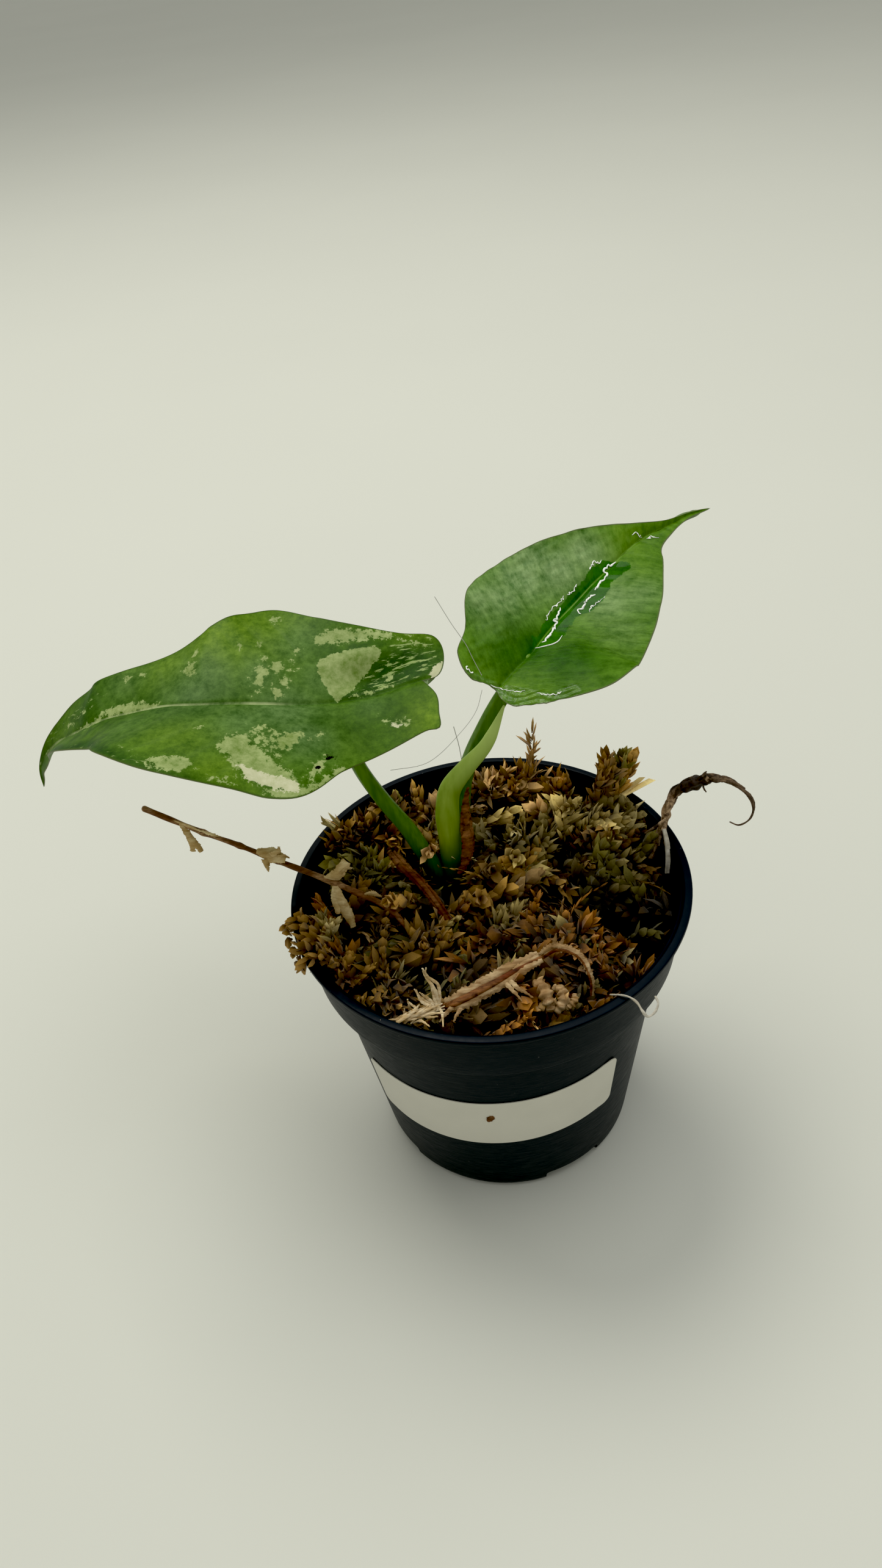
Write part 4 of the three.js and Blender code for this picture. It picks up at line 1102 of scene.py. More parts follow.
# The smooth rim of the film by the joint, painted white as a highlight like the beads.
rim_line = smooth_path([(1, 0, 0), (2.5, -2.5, 0), (4.5, -4.5, 0), (7.5, -4.5, 0)], 12)[0]
beads.append(tube("film_rim", on_surface(rim_line[:, 0], rim_line[:, 1], 0.12),
                  [0.08, 0.16, 0.18, 0.16, 0.08], sides=8, steps=60))
beads = join_as("water_beads_painted_glints", beads)
# Painted highlight: a white base colour, left solid white where the noise is low.
material, tree, shader, place = new_material("water", Roughness=0.15, IOR=1.33,
                                             Base_Color=linear("#fbfdf6"))
painted_glint_noise = add(tree, "TexNoise", {"Vector": place, "Scale": 500.0, "Detail": 3.0})
clear = add(tree, "MapRange", {"Value": painted_glint_noise, "From Min": 0.56, "From Max": 0.7, "To Max": 0.7})
plug(tree, shader, Transmission_Weight=clear)
hand_over(beads, material, None, smooth=80)

# %% [markdown]
# ## Leaf stalks and the furled new leaf
# The stalks are round, faintly ribbed and waxy, with fine streaks along them, and painted shade
# darkens them where they sink into the moss.
# The new leaf is a whole blade rolled round itself, so it is made that way: one sheet turned
# more than once about its axis, with its free edge showing as a seam down the front.

# %% Stalks
LEFT_STALK = [
    (-13.2, 16.2, 64), (-15.2, 15.4, 80), (-18.2, 15.6, 89), (-21.4, 16.8, 96),
    (-26.4, 16.9, 106), (-31.6, 16.5, 119.5), (-34, 17.6, 131), (-34.5, 19.2, 137.7),
]
LEFT_RADII = [3.1, 2.9, 2.5, 2.3, 2.15, 1.95, 1.75, 1.5]
RIGHT_STALK = [
    (-8.2, 20.6, 64), (-7, 22.4, 80), (-6, 26.5, 90), (-4.6, 29.4, 99), (-2.2, 29, 108),
    (2, 28, 118), (7.6, 27.4, 129), (13.2, 28, 137), (16.5, 28.9, 141.2),
]
RIGHT_RADII = [2.9, 2.8, 2.6, 2.4, 2.3, 2.3, 2.2, 2, 1.6]


def faint_ribs(angle, share):
    return 1 + 0.025 * np.cos(7 * angle + 2 * share) + 0.02 * np.sin(2 * angle + 9 * share)


def stalk_material(name, deep, low, high, painted_shade_until):
    """Streaked green between low and high, turning at the foot, up to a share of its length, to the
    deep colour of painted shade.
    """
    material, tree, shader, place = new_material(name, Specular_IOR_Level=0.3)
    drawn_out = add(tree, "Mapping", {"Vector": place, "Scale": (1, 1, 0.06)})
    streak = add(tree, "TexNoise", {"Vector": drawn_out, "Scale": 900.0, "Detail": 4.0})
    cloud = add(tree, "TexNoise", {"Vector": place, "Scale": 140.0, "Detail": 3.0})
    share = add(tree, "Attribute", {}, out=2, attribute_name="share")
    lit = add(tree, "MapRange", {"Value": share, "From Min": painted_shade_until - 0.1,
                                 "From Max": painted_shade_until + 0.3})
    fine = add(tree, "MapRange", {"Value": streak, "From Min": 0.3, "From Max": 0.7})
    tone = add(tree, "MixRGB", {0: fine, 1: low, 2: high})
    clouded = add(tree, "Math", {0: cloud, 1: 0.35}, operation="MULTIPLY")
    tone = add(tree, "MixRGB", {0: clouded, 1: tone, 2: low})
    # Painted shade: below the given share the stalk turns to the deep colour.
    tone = add(tree, "MixRGB", {0: lit, 1: deep, 2: tone})
    rough = add(tree, "MapRange", {"Value": cloud, "To Min": 0.34, "To Max": 0.52})
    skin = add(tree, "Bump", {"Height": streak, "Strength": 0.3, "Distance": 0.0003})
    plug(tree, shader, Base_Color=tone, Roughness=rough, Normal=skin)
    return material


# The first, deep colour is painted shade at the foot of the stalk.
green_stalk = stalk_material("green_stalk", "#1b3a06", "#45700f", "#6b9428", 0.2)
left_stalk = tube("left_petiole", LEFT_STALK, LEFT_RADII, sides=36, steps=150, skin=faint_ribs)
right_stalk = tube("right_petiole", RIGHT_STALK, RIGHT_RADII, sides=36, steps=150, skin=faint_ribs)
for stalk, node in ((left_stalk, "left_stalk"), (right_stalk, "right_stalk")):
    hand_over(stalk, green_stalk, "stalk_green", node, smooth=60)

# %% Furled new leaf
NEW_LEAF = [
    (-10.4, 14.6, 67), (-10.1, 15.4, 80), (-9.7, 17.2, 90), (-9.6, 18, 99), (-8.2, 19, 106),
    (-3.4, 19, 113), (2.8, 18.6, 121), (8.2, 19.4, 132.5),
]
NEW_LEAF_RADII = [2.6, 2.9, 3.5, 3.7, 3.2, 2.5, 1.8, 0.3]


def rolled(u, v, turns=1.45, seam=-0.9, tighten=0.2):
    """A sheet rolled about the new leaf's axis; u runs round it, v from its foot to its tip."""
    place, _, wide, deep, _ = along_path(NEW_LEAF, v, (0, -0.8, 0.6))
    radius = evenly(v, NEW_LEAF_RADII)
    flare = 1 + 0.1 * np.exp(-u / 0.04) * np.sin(v * 23) + 0.03 * np.sin(v * 11 + 5 * u)
    radius = radius * (1 - tighten * u) * flare
    angle = seam - 2 * np.pi * turns * u
    squeeze = 0.55 + 0.25 * (1 - np.clip(v * 3, 0, 1))
    return (place + wide * (np.cos(angle) * radius)[:, None]
            + deep * (np.sin(angle) * radius * squeeze)[:, None])


ROUND, LONG = 96, 150
new_leaf = bent_grid("furled_leaf", ROUND, LONG, rolled)
note(new_leaf, "share", points_of_grid(new_leaf, LONG))
note(new_leaf, "round", (np.arange(len(new_leaf.data.vertices)) % (ROUND + 1)) / ROUND)
apply_modifier(new_leaf, "SOLIDIFY", thickness=0.34 * MM, offset=-1)
close_seams(new_leaf)
material, tree, shader, place = new_material("furled_leaf_green", Specular_IOR_Level=0.3)
share = add(tree, "Attribute", {}, out=2, attribute_name="share")
turned = add(tree, "Attribute", {}, out=2, attribute_name="round")
drawn_out = add(tree, "Mapping", {"Vector": place, "Scale": (1, 1, 0.08)})
streak = add(tree, "TexNoise", {"Vector": drawn_out, "Scale": 800.0, "Detail": 4.0})
cloud = add(tree, "TexNoise", {"Vector": place, "Scale": 130.0, "Detail": 4.0})
rise = add(tree, "MapRange", {"Value": share, "From Min": 0.22, "From Max": 0.36})
edge = add(tree, "MapRange", {"Value": turned, "From Min": 0.02, "From Max": 0.0})
shaded = add(tree, "MapRange", {"Value": turned, "From Min": 0.4, "From Max": 0.52, "To Max": 0.5})
upper = add(tree, "MapRange", {"Value": share, "From Min": 0.55, "From Max": 0.9})
clouded = add(tree, "Math", {0: cloud, 1: 0.3}, operation="MULTIPLY")
tone = add(tree, "MixRGB", {0: streak, 1: "#86a526", 2: "#bdd65e"})
tone = add(tree, "MixRGB", {0: shaded, 1: tone, 2: "#4f7212"})
# Painted shade: the foot, where the leaf sinks into the moss, turns dark green.
tone = add(tree, "MixRGB", {0: rise, 1: "#35560c", 2: tone})
for share, layer in ((upper, "#c2da7c"), (clouded, "#5f8412"), (edge, "#c3d188")):
    tone = add(tree, "MixRGB", {0: share, 1: tone, 2: layer})
rough = add(tree, "MapRange", {"Value": cloud, "To Min": 0.36, "To Max": 0.55})
skin = add(tree, "Bump", {"Height": streak, "Strength": 0.25, "Distance": 0.0003})
plug(tree, shader, Base_Color=tone, Roughness=rough, Normal=skin)
hand_over(new_leaf, material, "young_leaf", "new_leaf", smooth=50)

# %% [markdown]
# ## Dried sphagnum moss
# Sphagnum is made of soft stems wrapped in overlapping scales, so it looks like plump catkins,
# little stars and threads in a heap. One scale is modelled with extrusions and merged to a
# point. Its points are then copied round about nine hundred stems with arrays, because one
# operator call for each scale would take hours. Under them lies an uneven bed that fills the
# pot: a near-black sheet of painted shade for the deep gaps between the stems.

# %% Height of the moss, and the bed
CROWN_HOLLOW = (-9.5, 14)
INNER_WALL = [(0, 35.4), (3, 36.0), (5, 36.5), (37, 40.8), (71.3, 45.3), (72.4, 48.8), (88, 50.3)]
MOUNDS = [
    # x, y, size and rise in mm
    (-40, 26, 9, 7), (-28, 36, 8, 6), (-14, 40, 8, 4), (6, 45, 7, 7), (18, 42, 7, 6),
    (37, 31, 8, 6), (28, 23, 8, 3), (-20, -16, 6, 2), (-36, 10, 6, 3), (-43, -12, 5, 3),
    (22, -20, 7, 2), (0, -30, 8, 1.5), (8, 33, 5, -4), (20, 0, 8, -5), (34, -8, 8, -4),
    (-18, -23, 5, -5), (-49, 5, 7, -3), (2, -8, 4, -2.5), (-8, -12, 4, -2), (40, -20, 7, -2),
    (-34, -27, 5, -3),
]


def moss_height(x, y):
    lumps = np.sin(0.21 * x + 1.3) * np.cos(0.17 * y + 0.4)
    lumps = lumps + 0.7 * np.sin(0.37 * x - 0.29 * y + 2.1)
    lumps += 0.5 * np.sin(0.11 * x + 0.43 * y)
    wall = np.clip((np.hypot(x, y) - 34) / 15, 0, 1)
    crown = np.hypot(x - CROWN_HOLLOW[0], y - CROWN_HOLLOW[1])
    height = 80 + 1.625 * lumps - 3.5 * wall**2 * (3 - 2 * wall) - 7 * np.exp(-((crown / 8) ** 2))
    for cx, cy, size, rise in MOUNDS:
        height = height + rise * np.exp(-((x - cx) ** 2 + (y - cy) ** 2) / size**2)
    return height


def wall_radius(z):
    return np.interp(z, *zip(*INNER_WALL))


BED_TOP = 74
climb = [(float(wall_radius(z)) - 0.35, z) for z in (2.2, 4, 12, 24, 37, 50, 62, 71, 72.6, 73.6)]
cover = [(radius, BED_TOP) for radius in np.linspace(46.4, 1.2, 26)]
moss_bed = raised_rings("moss_bed_shade_sheet", [(20, 2.1), *climb, *cover], 120)
spots = points_of(moss_bed) / MM
at_wall = (np.hypot(spots[:, 0], spots[:, 1]) > 48) & (spots[:, 2] > BED_TOP - 1)
on_top = (spots[:, 2] > BED_TOP - 0.2) | at_wall
x, y = spots[on_top, 0], spots[on_top, 1]
crumbs = 1.2 * swell(x, y, 4.5, 3) + 0.6 * swell(x, y, 1.8, 4)
spots[on_top, 2] = np.maximum(moss_height(x, y) - 4.2 + crumbs, 72.5)
move_points(moss_bed, spots)
# Painted shade: the bed is near black, standing for the shade deep between the stems.
material, tree, shader, place = new_material("near_black_painted_shade", Roughness=0.9, Specular_IOR_Level=0.2)
crumb = add(tree, "TexNoise", {"Vector": place, "Scale": 700.0, "Detail": 6.0, "Roughness": 0.75})
skin = add(tree, "Bump", {"Height": crumb, "Strength": 1.0, "Distance": 0.0015})
tone = add(tree, "MixRGB", {0: crumb, 1: "#070401", 2: "#22170a"})
plug(tree, shader, Base_Color=tone, Normal=skin)
hand_over(moss_bed, material, "dried_moss", "sphagnum_moss", smooth=70)

# %% One scale
scale_piece = raised_rings("scale", [(0.35, 0), (0.98, 0.3), (0.94, 0.68), (0.12, 1)], 4)
activate(scale_piece)
bpy.ops.object.mode_set(mode="EDIT")
bpy.ops.mesh.select_all(action="DESELECT")
bpy.ops.object.mode_set(mode="OBJECT")
for vertex in scale_piece.data.vertices:
    vertex.select = vertex.co.z > 0.9 * MM
bpy.ops.object.mode_set(mode="EDIT")
bpy.ops.mesh.merge(type="CENTER")
bpy.ops.object.mode_set(mode="OBJECT")
SCALE = points_of(scale_piece) / MM
SCALE_FACES = [tuple(face.vertices) for face in scale_piece.data.polygons]
bpy.data.objects.remove(scale_piece)
across, through = SCALE[:, 0].copy(), SCALE[:, 1].copy()
on_edge = np.abs(through) < 0.001
SCALE[:, 0] = across / 2
SCALE[:, 1] = np.where(on_edge, 0.1 * np.abs(across), np.where(through > 0, -0.02, 0.3) * through)
print(f"one scale: {len(SCALE)} points, {len(SCALE_FACES)} faces")

# %% Scales round a stem
WINDING = 2.4  # radians from one scale to the next, the golden angle that stems grow by


def scales_round(stem, count, size, width, opening, draw, start=0.0, stop=0.92):
    """Copies of the scale wound round a stem in mm, as points of shape (count, 13, 3)."""
    t = np.linspace(start, stop, count)
    at = np.linspace(0, 1, len(stem))
    place = sample(t, at, stem)
    tangent = unit(sample(t, at, np.gradient(stem, axis=0)))
    side = unit(np.cross(tangent, (0.31, -0.2, 0.93)))
    turn = (WINDING * np.arange(count) + draw.normal(0, 0.7, count))[:, None]
    radial = side * np.cos(turn) + np.cross(side, tangent) * np.sin(turn)
    opened = (opening * draw.uniform(0.3, 2.0, count))[:, None]
    forward = tangent * np.cos(opened) + radial * np.sin(opened)
    inward = unit(forward * (radial * forward).sum(1, keepdims=True) - radial)
    crosswise = np.cross(inward, forward)
    plump = np.sin(np.pi * (0.16 + 0.72 * t)) ** 0.6
    long = (size * plump * draw.uniform(0.6, 1.5, count))[:, None, None]
    wide = (width * plump * draw.uniform(0.6, 1.3, count))[:, None, None]
    curl = draw.normal(0.05, 0.26, count)[:, None, None]
    x, y, z = (SCALE[None, :, k:k + 1] for k in range(3))
    base = place + radial * 0.15 * width
    return (base[:, None] + crosswise[:, None] * x * wide + forward[:, None] * z * long
            + inward[:, None] * (y * wide + curl * z**2 * long))


def arc(start, heading, length, sag=0.0, sideways=0.0):
    """A short curved stem as 10 points."""
    t = np.linspace(0, 1, 10)[:, None]
    heading = unit(np.asarray(heading, float))
    across = unit(np.cross(heading, (0.02, 0.03, 1.0)))
    bend = across * sideways - (0, 0, sag)
    return np.asarray(start) + heading * length * t + bend * length * t**2


# %% [markdown]
# Moss dries to many browns, in drifts of a few centimetres: straw and fawn at the back, tan at
# the left, russet at the front, umber and olive at the right where it stayed damp. Each stem
# takes one tint from those that rule its spot, and its own lightness.

# %% Tints of the moss
TINTS = {
    "straw": "#a8955f", "tan": "#a07c3e", "russet": "#8c5f26", "umber": "#6e5229",
    "olive": "#7b7238", "bleached": "#bdad7c", "fawn": "#b29162",
}
DRIFTS = [
    # x, y, size in mm, tint and strength
    (27, 26, 13, "straw", 3.0), (15, 8, 10, "tan", 2.0), (10, 22, 10, "straw", 2.4),
    (-25, -5, 12, "tan", 2.0), (-30, 20, 14, "tan", 2.4), (-41, 8, 9, "umber", 1.6),
    (5, -20, 12, "russet", 1.8), (-36, 10, 6, "olive", 2.0), (20, -25, 14, "russet", 2.6),
    (-20, -30, 12, "tan", 1.5), (-33, -22, 10, "tan", 2.0), (0, -33, 8, "fawn", 1.5),
    (38, -6, 10, "olive", 1.2), (42, -14, 8, "umber", 2.0), (0, 42, 9, "fawn", 3.0),
    (16, 41, 8, "fawn", 2.5), (38, 30, 7, "tan", 2.5), (-45, -12, 8, "bleached", 1.4),
    (-3, -6, 9, "tan", 2.0), (12, -40, 8, "russet", 1.6), (31, -36, 9, "russet", 2.0),
    (-8, -38, 7, "umber", 1.6), (-14, 30, 9, "fawn", 2.0), (40, 12, 8, "umber", 1.6),
]
# The heap is darker in its middle and at the right, and paler at the back and left.
PALENESS = [
    # x, y and size in mm, and what it adds
    (10, 40, 16, 0.7), (-33, 28, 14, 0.7), (-44, 8, 8, 0.3), (-41, -10, 9, 0.4),
    (32, 32, 12, 0.6), (0, -33, 8, 0.2), (22, -21, 6, 0.3), (-20, -33, 8, 0.2),
    (22, 2, 12, -0.6), (38, -8, 13, -0.55), (-20, 0, 6, -0.3), (-20, -23, 5, -0.3),
    (34, -33, 7, -0.3), (42, 14, 9, -0.4), (-33, -25, 6, -0.2), (4, -12, 7, -0.2),
    (10, -22, 6, -0.2),
]


def hump(x, y, cx, cy, size):
    """1 at a centre, falling off smoothly over size mm."""
    return math.exp(-((x - cx) ** 2 + (y - cy) ** 2) / size**2)


def tint_at(x, y, draw):
    names = list(TINTS)
    weight = np.full(len(names), 0.1)
    for cx, cy, size, tint, strength in DRIFTS:
        weight[names.index(tint)] += strength * hump(x, y, cx, cy, size)
    chosen = names[draw.choice(len(names), p=weight / weight.sum())]
    pale = 0.9 + sum(lift * hump(x, y, cx, cy, size) for cx, cy, size, lift in PALENESS)
    return tint_colour(chosen) * draw.uniform(0.45, 1.55) * max(pale, 0.3)


def tint_colour(name):
    return np.array(linear(TINTS[name])[:3])


# %% Keeping the moss inside the wall and off the stalks
AXES = [(np.asarray(LEFT_STALK, float), 2.9), (np.asarray(RIGHT_STALK, float), 2.9),
        (np.asarray(NEW_LEAF, float), 3.6)]


def off_stalks(points):
    """Pushes points sideways until they clear each stalk."""
    for axis, clear in AXES:
        middle = sample(points[:, 2], axis[:, 2], axis[:, :2])
        away = points[:, :2] - middle
        gap = np.maximum(np.linalg.norm(away, axis=1, keepdims=True), 1e-6)
        points[:, :2] += away / gap * np.maximum(clear - gap, 0)
    return points


def inside_wall(points, top=91.0, lip=88, gap=0.45, unbounded=99):
    """Draws points in until they clear the pot's wall by gap mm, but not above the lip."""
    reach = np.maximum(np.hypot(points[:, 0], points[:, 1]), 1e-6)
    limit = wall_radius(np.minimum(points[:, 2], lip)) - gap
    limit = np.where(points[:, 2] > top, unbounded, limit)
    points[:, :2] *= np.minimum(1, limit / reach)[:, None]
    return points


class Heap:
    """Gathers stems, then makes them one piece."""

    def __init__(self):
        self.points, self.tone, self.tip = [], [], []

    def add(self, scales, tone, walled=True):
        """Takes stems in. What lies deep in the heap is darker, as painted shade."""
        flat = off_stalks(scales.reshape(-1, 3))
        above = flat[:, 2] - moss_height(flat[:, 0], flat[:, 1])
        # Painted shade: a stem's tone falls off with its depth under the top of the heap.
        damp_and_painted_shade = np.clip(0.07 + 0.1 * above, 0.02, 1.0)[:, None] if walled else 0.8
        self.points.append(inside_wall(flat) if walled else flat)
        self.tone.append(np.tile(tone, (len(flat), 1)) * damp_and_painted_shade)
        self.tip.append(np.tile(SCALE[:, 2], len(flat) // len(SCALE)))

    def piece(self, name):
        points = np.vstack(self.points)
        copies = len(points) // len(SCALE)
        faces = [tuple(i + len(SCALE) * copy for i in face)
                 for copy in range(copies) for face in SCALE_FACES]
        mesh = bpy.data.meshes.new(name)
        mesh.from_pydata((points * MM).tolist(), [], faces)
        made = bpy.data.objects.new(name, mesh)
        bpy.context.collection.objects.link(made)
        note(made, "tone", np.vstack(self.tone))
        note(made, "tip", np.concatenate(self.tip))
        print(f"{name}: {copies} scales")
        return made


# %% [markdown]
# A dried scale is matt and a little fuzzy, so it has a weak sheen. Its foot is darkened as painted
# shade, and its tip is pale, partly from bleaching and partly as a painted highlight. Each of its
# points notes the stem's tone and how near the tip it is.

# %% Dried sphagnum
moss_material, tree, shader, place = new_material(
    "dried_sphagnum", Roughness=0.85, Specular_IOR_Level=0.25, Sheen_Weight=0.15,
    Sheen_Roughness=0.6)
fine = add(tree, "TexNoise", {"Vector": place, "Scale": 1500.0, "Detail": 4.0, "Roughness": 0.7})
broad = add(tree, "TexNoise", {"Vector": place, "Scale": 260.0, "Detail": 3.0})
tone = add(tree, "Attribute", {}, out=1, attribute_name="tone")
tip = add(tree, "Attribute", {}, out=2, attribute_name="tip")
dark, light = (add(tree, "Mix", {0: 1.0, 6: tone, 7: factor}, out=2, data_type="RGBA",
                   blend_type="MULTIPLY") for factor in ("#a8977c", (1.8, 1.78, 1.62, 1)))
# Painted shade at the foot of each scale, and at its tip bleaching with a painted highlight.
bleached_tip_and_painted_light = add(tree, "MapRange", {"Value": tip, "From Min": 0.1, "From Max": 0.9})
colour = add(tree, "MixRGB", {0: bleached_tip_and_painted_light, 1: dark, 2: light})
freckle = add(tree, "MapRange", {"Value": fine, "From Min": 0.55, "From Max": 0.75, "To Max": 0.5})
colour = add(tree, "MixRGB", {0: freckle, 1: colour, 2: dark})
# Darker patches at random, as of damp moss.
damp_and_painted_shade = add(tree, "MapRange", {"Value": broad, "From Min": 0.52, "From Max": 0.74, "To Max": 0.35})
colour = add(tree, "MixRGB", {0: damp_and_painted_shade, 1: colour, 2: "#33240f"})
skin = add(tree, "Bump", {"Height": fine, "Strength": 0.5, "Distance": 0.0003})
plug(tree, shader, Base_Color=colour, Normal=skin)

# %% Plump stems, stars and threads
HOLLOWS = [
    # x, y and size in mm
    (-17.8, -23.6, 5), (20, 0, 5.5), (-11, 7.5, 5), (34, -8, 5.5), (-8, -11, 3), (2, -9, 2.5),
    (-49, 5, 5), (40, -20, 3.5), (8, 33, 4), (-34, -27, 4), (30, -33, 3),
]
CATKINS, STARS = 0.56, 0.72  # stems up to these shares are catkins, then stars, then threads


def in_hollow(x, y, grow=0.0):
    return any(math.hypot(x - cx, y - cy) < size + grow for cx, cy, size in HOLLOWS)


def near_stalk(x, y, level=84, margin=1.2):
    feet = [(sample([level], axis[:, 2], axis[:, :2])[0], clear) for axis, clear in AXES]
    return any(math.hypot(x - foot[0], y - foot[1]) < clear + margin for foot, clear in feet)


def scattered(count, gap, draw, outer=48.5):
    """Spots in the pot's mouth, at least gap mm apart."""
    found = []
    for _ in range(count * 30):
        radius, angle = outer * math.sqrt(draw.random()), draw.uniform(0, 2 * math.pi)
        spot = (radius * math.cos(angle), radius * math.sin(angle))
        if all((spot[0] - x) ** 2 + (spot[1] - y) ** 2 > gap**2 for x, y in found):
            found.append(spot)
            if len(found) == count:
                break
    return found


def heading_at(x, y, draw, lift):
    """Stems that lie near one another run much the same way."""
    flow = swell(np.array([x]), np.array([y]), 22, 77)[0] * 5 + draw.normal(0, 0.8)
    return np.array([math.cos(flow), math.sin(flow), lift])


def lay_moss(heap, spots, draw, sink, lift, sizes, skip_hollows):
    """Lays a stem at each spot, sunk by sink mm and rising by lift, of a length from sizes."""
    for x, y in spots:
        if near_stalk(x, y) or skip_hollows and in_hollow(x, y):
            continue
        z = float(moss_height(x, y)) - sink * draw.uniform(0.6, 1.4)
        z -= 3 if in_hollow(x, y, 1) else 0
        tone = tint_at(x, y, draw)
        kind = draw.random()
        if kind < CATKINS:
            length, width = draw.uniform(*sizes), draw.uniform(2.4, 4.8)
            stem = arc((x, y, z), heading_at(x, y, draw, lift * draw.uniform(-0.3, 2.6)), length,
                       draw.uniform(-0.2, 0.5), draw.normal(0, 0.6))
            stem -= (stem[5] - stem[0]) * (1, 1, 0)
            count = int(length * 1.4) + 6
            opening = draw.uniform(0.25, 0.55)
            heap.add(scales_round(stem, count, width * 1.1, width * 0.8, opening, draw), tone)
        elif kind < STARS:
            stem = arc((x, y, z), heading_at(x, y, draw, 1.6), 3.0)
            size, wide = draw.uniform(3.8, 6.8), draw.uniform(1.4, 2.6)
            heap.add(scales_round(stem, 10, size, wide, 0.8, draw), tone)
        else:
            stem = arc((x, y, z + 1), heading_at(x, y, draw, lift), draw.uniform(9, 17), 0.3,
                       draw.normal(0, 0.8))
            heap.add(scales_round(stem, 12, 3.2, draw.uniform(0.5, 1.0), 0.16, draw), tone * 1.25)


low, high = Heap(), Heap()
draw = np.random.default_rng(4)
lay_moss(low, scattered(430, 3.0, draw), draw, 3.4, 0.15, (7, 12), False)
lay_moss(high, scattered(370, 3.2, draw, 47), draw, 0.2, 0.42, (8, 16), True)
print(f"stems laid: {len(low.points)} under and {len(high.points)} over")

# %% Tall tufts and the sprigs that hang over the lip
TUFTS = [
    # root, lean, reach, spread, count, width, tint
    ((36, 33), (0.18, 0, 1), 22, 0.24, 6, 4.6, "tan"),
    ((37, 32), (0.36, 0, 1), 20, 0.22, 5, 4.4, "olive"),
    ((38, 30), (0.7, 0.1, 0.6), 15, 0.16, 3, 4.8, "bleached"),
    ((40, 27), (0.9, 0.2, 0.35), 13, 0.25, 4, 4.6, "bleached"),
    ((25, 25), (0.9, 0.1, 0.45), 19, 0.14, 3, 5.4, "straw"),
    ((27, 31), (0.7, 0.3, 0.5), 17, 0.2, 3, 4.8, "straw"),
    ((30, 19), (0.9, 0.25, 0.55), 19, 0.12, 2, 4.8, "bleached"),
    ((3, 44), (-0.1, 0.2, 1), 8, 0.9, 8, 3.4, "fawn"),
    ((12, 43), (-0.05, 0.1, 1), 8, 0.7, 6, 3.2, "tan"),
    ((16, 44), (0, 0.06, 1), 23, 0.04, 1, 1.9, "fawn"),
    ((23, 40), (0.25, 0, 1), 10, 0.7, 7, 3.6, "tan"),
    ((-40, 26), (-0.15, 0.1, 1), 9, 1.0, 10, 4.0, "tan"),
    ((-35, 32), (0, 0.1, 1), 9, 1.0, 8, 3.8, "umber"),
    ((-43, 27), (-0.2, 0.1, 1), 12, 0.1, 1, 2.8, "bleached"),
    ((-25, 33), (0, 0, 1), 9, 1.0, 5, 3.4, "umber"),
    ((-17, 28), (0, -0.3, 1), 9, 1.1, 7, 3.0, "bleached"),
    ((-34, 10), (-0.2, -0.1, 1), 9, 0.9, 8, 3.4, "olive"),
    ((-41, -9), (-0.7, 0, 0.7), 9, 0.5, 4, 3.4, "straw"),
    ((-40, -20), (-0.3, -0.2, 0.8), 9, 0.6, 5, 3.8, "russet"),
    ((-18, -16), (0, 0, 1), 7, 1.3, 7, 4.2, "tan"),
    ((2, -12), (0.2, 0.1, 1), 8, 1.0, 6, 2.8, "straw"),
    ((22, -20), (0.1, -0.1, 1), 8, 1.1, 6, 3.4, "russet"),
    ((36, -30), (0.1, 0, 1), 8, 0.8, 5, 3.0, "russet"),
    ((14, 22), (0.7, 0.5, 0.5), 20, 0.1, 3, 3.6, "straw"),
    ((5, 26), (-0.6, 0.2, 0.5), 13, 0.3, 3, 5.0, "bleached"),
    ((12, 30), (-0.3, -0.5, 0.5), 12, 0.3, 2, 5.2, "bleached"),
    ((4, 8), (0.6, 0.3, 0.4), 13, 0.2, 3, 5.4, "straw"),
    ((30, 12), (0.8, -0.2, 0.4), 13, 0.3, 3, 4.6, "straw"),
    ((-30, -30), (0.5, 0.7, 0.4), 12, 0.4, 5, 1.6, "bleached"),
]
tall = Heap()
draw = np.random.default_rng(8)
for root, lean, reach, spread, count, width, tint in TUFTS:
    for _ in range(count):
        x, y = np.add(root, draw.normal(0, 1.6, 2) if count > 1 else (0, 0))
        heading = unit(np.asarray(lean, float)) + spread * draw.normal(0, 0.6, 3) * (1, 1, 0.3)
        length = reach * draw.uniform(0.72, 1.0)
        start = (x, y, float(moss_height(x, y)) - 1)
        stem = arc(start, heading, length, 0.06, draw.normal(0, 0.12))
        tone = tint_colour(tint) * draw.uniform(0.5, 1.25)
        tall.add(scales_round(stem, int(length * 1.25) + 4, 5.0, width * 0.62, 0.36, draw), tone)

RIM_SPRIGS = [
    # azimuth in degrees, top and hang in mm
    (-80, 90.6, 1.4), (-76, 91.2, 2.6), (-71, 90.6, 3.2), (-66.5, 90.8, 2.2), (-63, 90.2, 1.2),
]
for azimuth, top, hang in RIM_SPRIGS:
    turn = math.radians(azimuth)
    fall = top - 1.4
    profile = [(43, 78), (48.4, 87), (51.4, 90.2), (54, top), (55.2, fall), (55.6, fall - hang)]
    path = [(radius * math.sin(turn), -radius * math.cos(turn), z) for radius, z in profile]
    stem = smooth_path(path, 14)[0]
    scales = scales_round(stem, 18, 3.6, 2.4, 0.45, draw, 0.15, 1.0)
    tall.add(scales, tint_colour("tan") * draw.uniform(0.7, 1.3), walled=False)

for heap, name in ((low, "moss_under"), (high, "moss_over"), (tall, "moss_tufts")):
    made = heap.piece(name)
    hand_over(made, moss_material, "dried_moss", "sphagnum_moss", smooth=55)

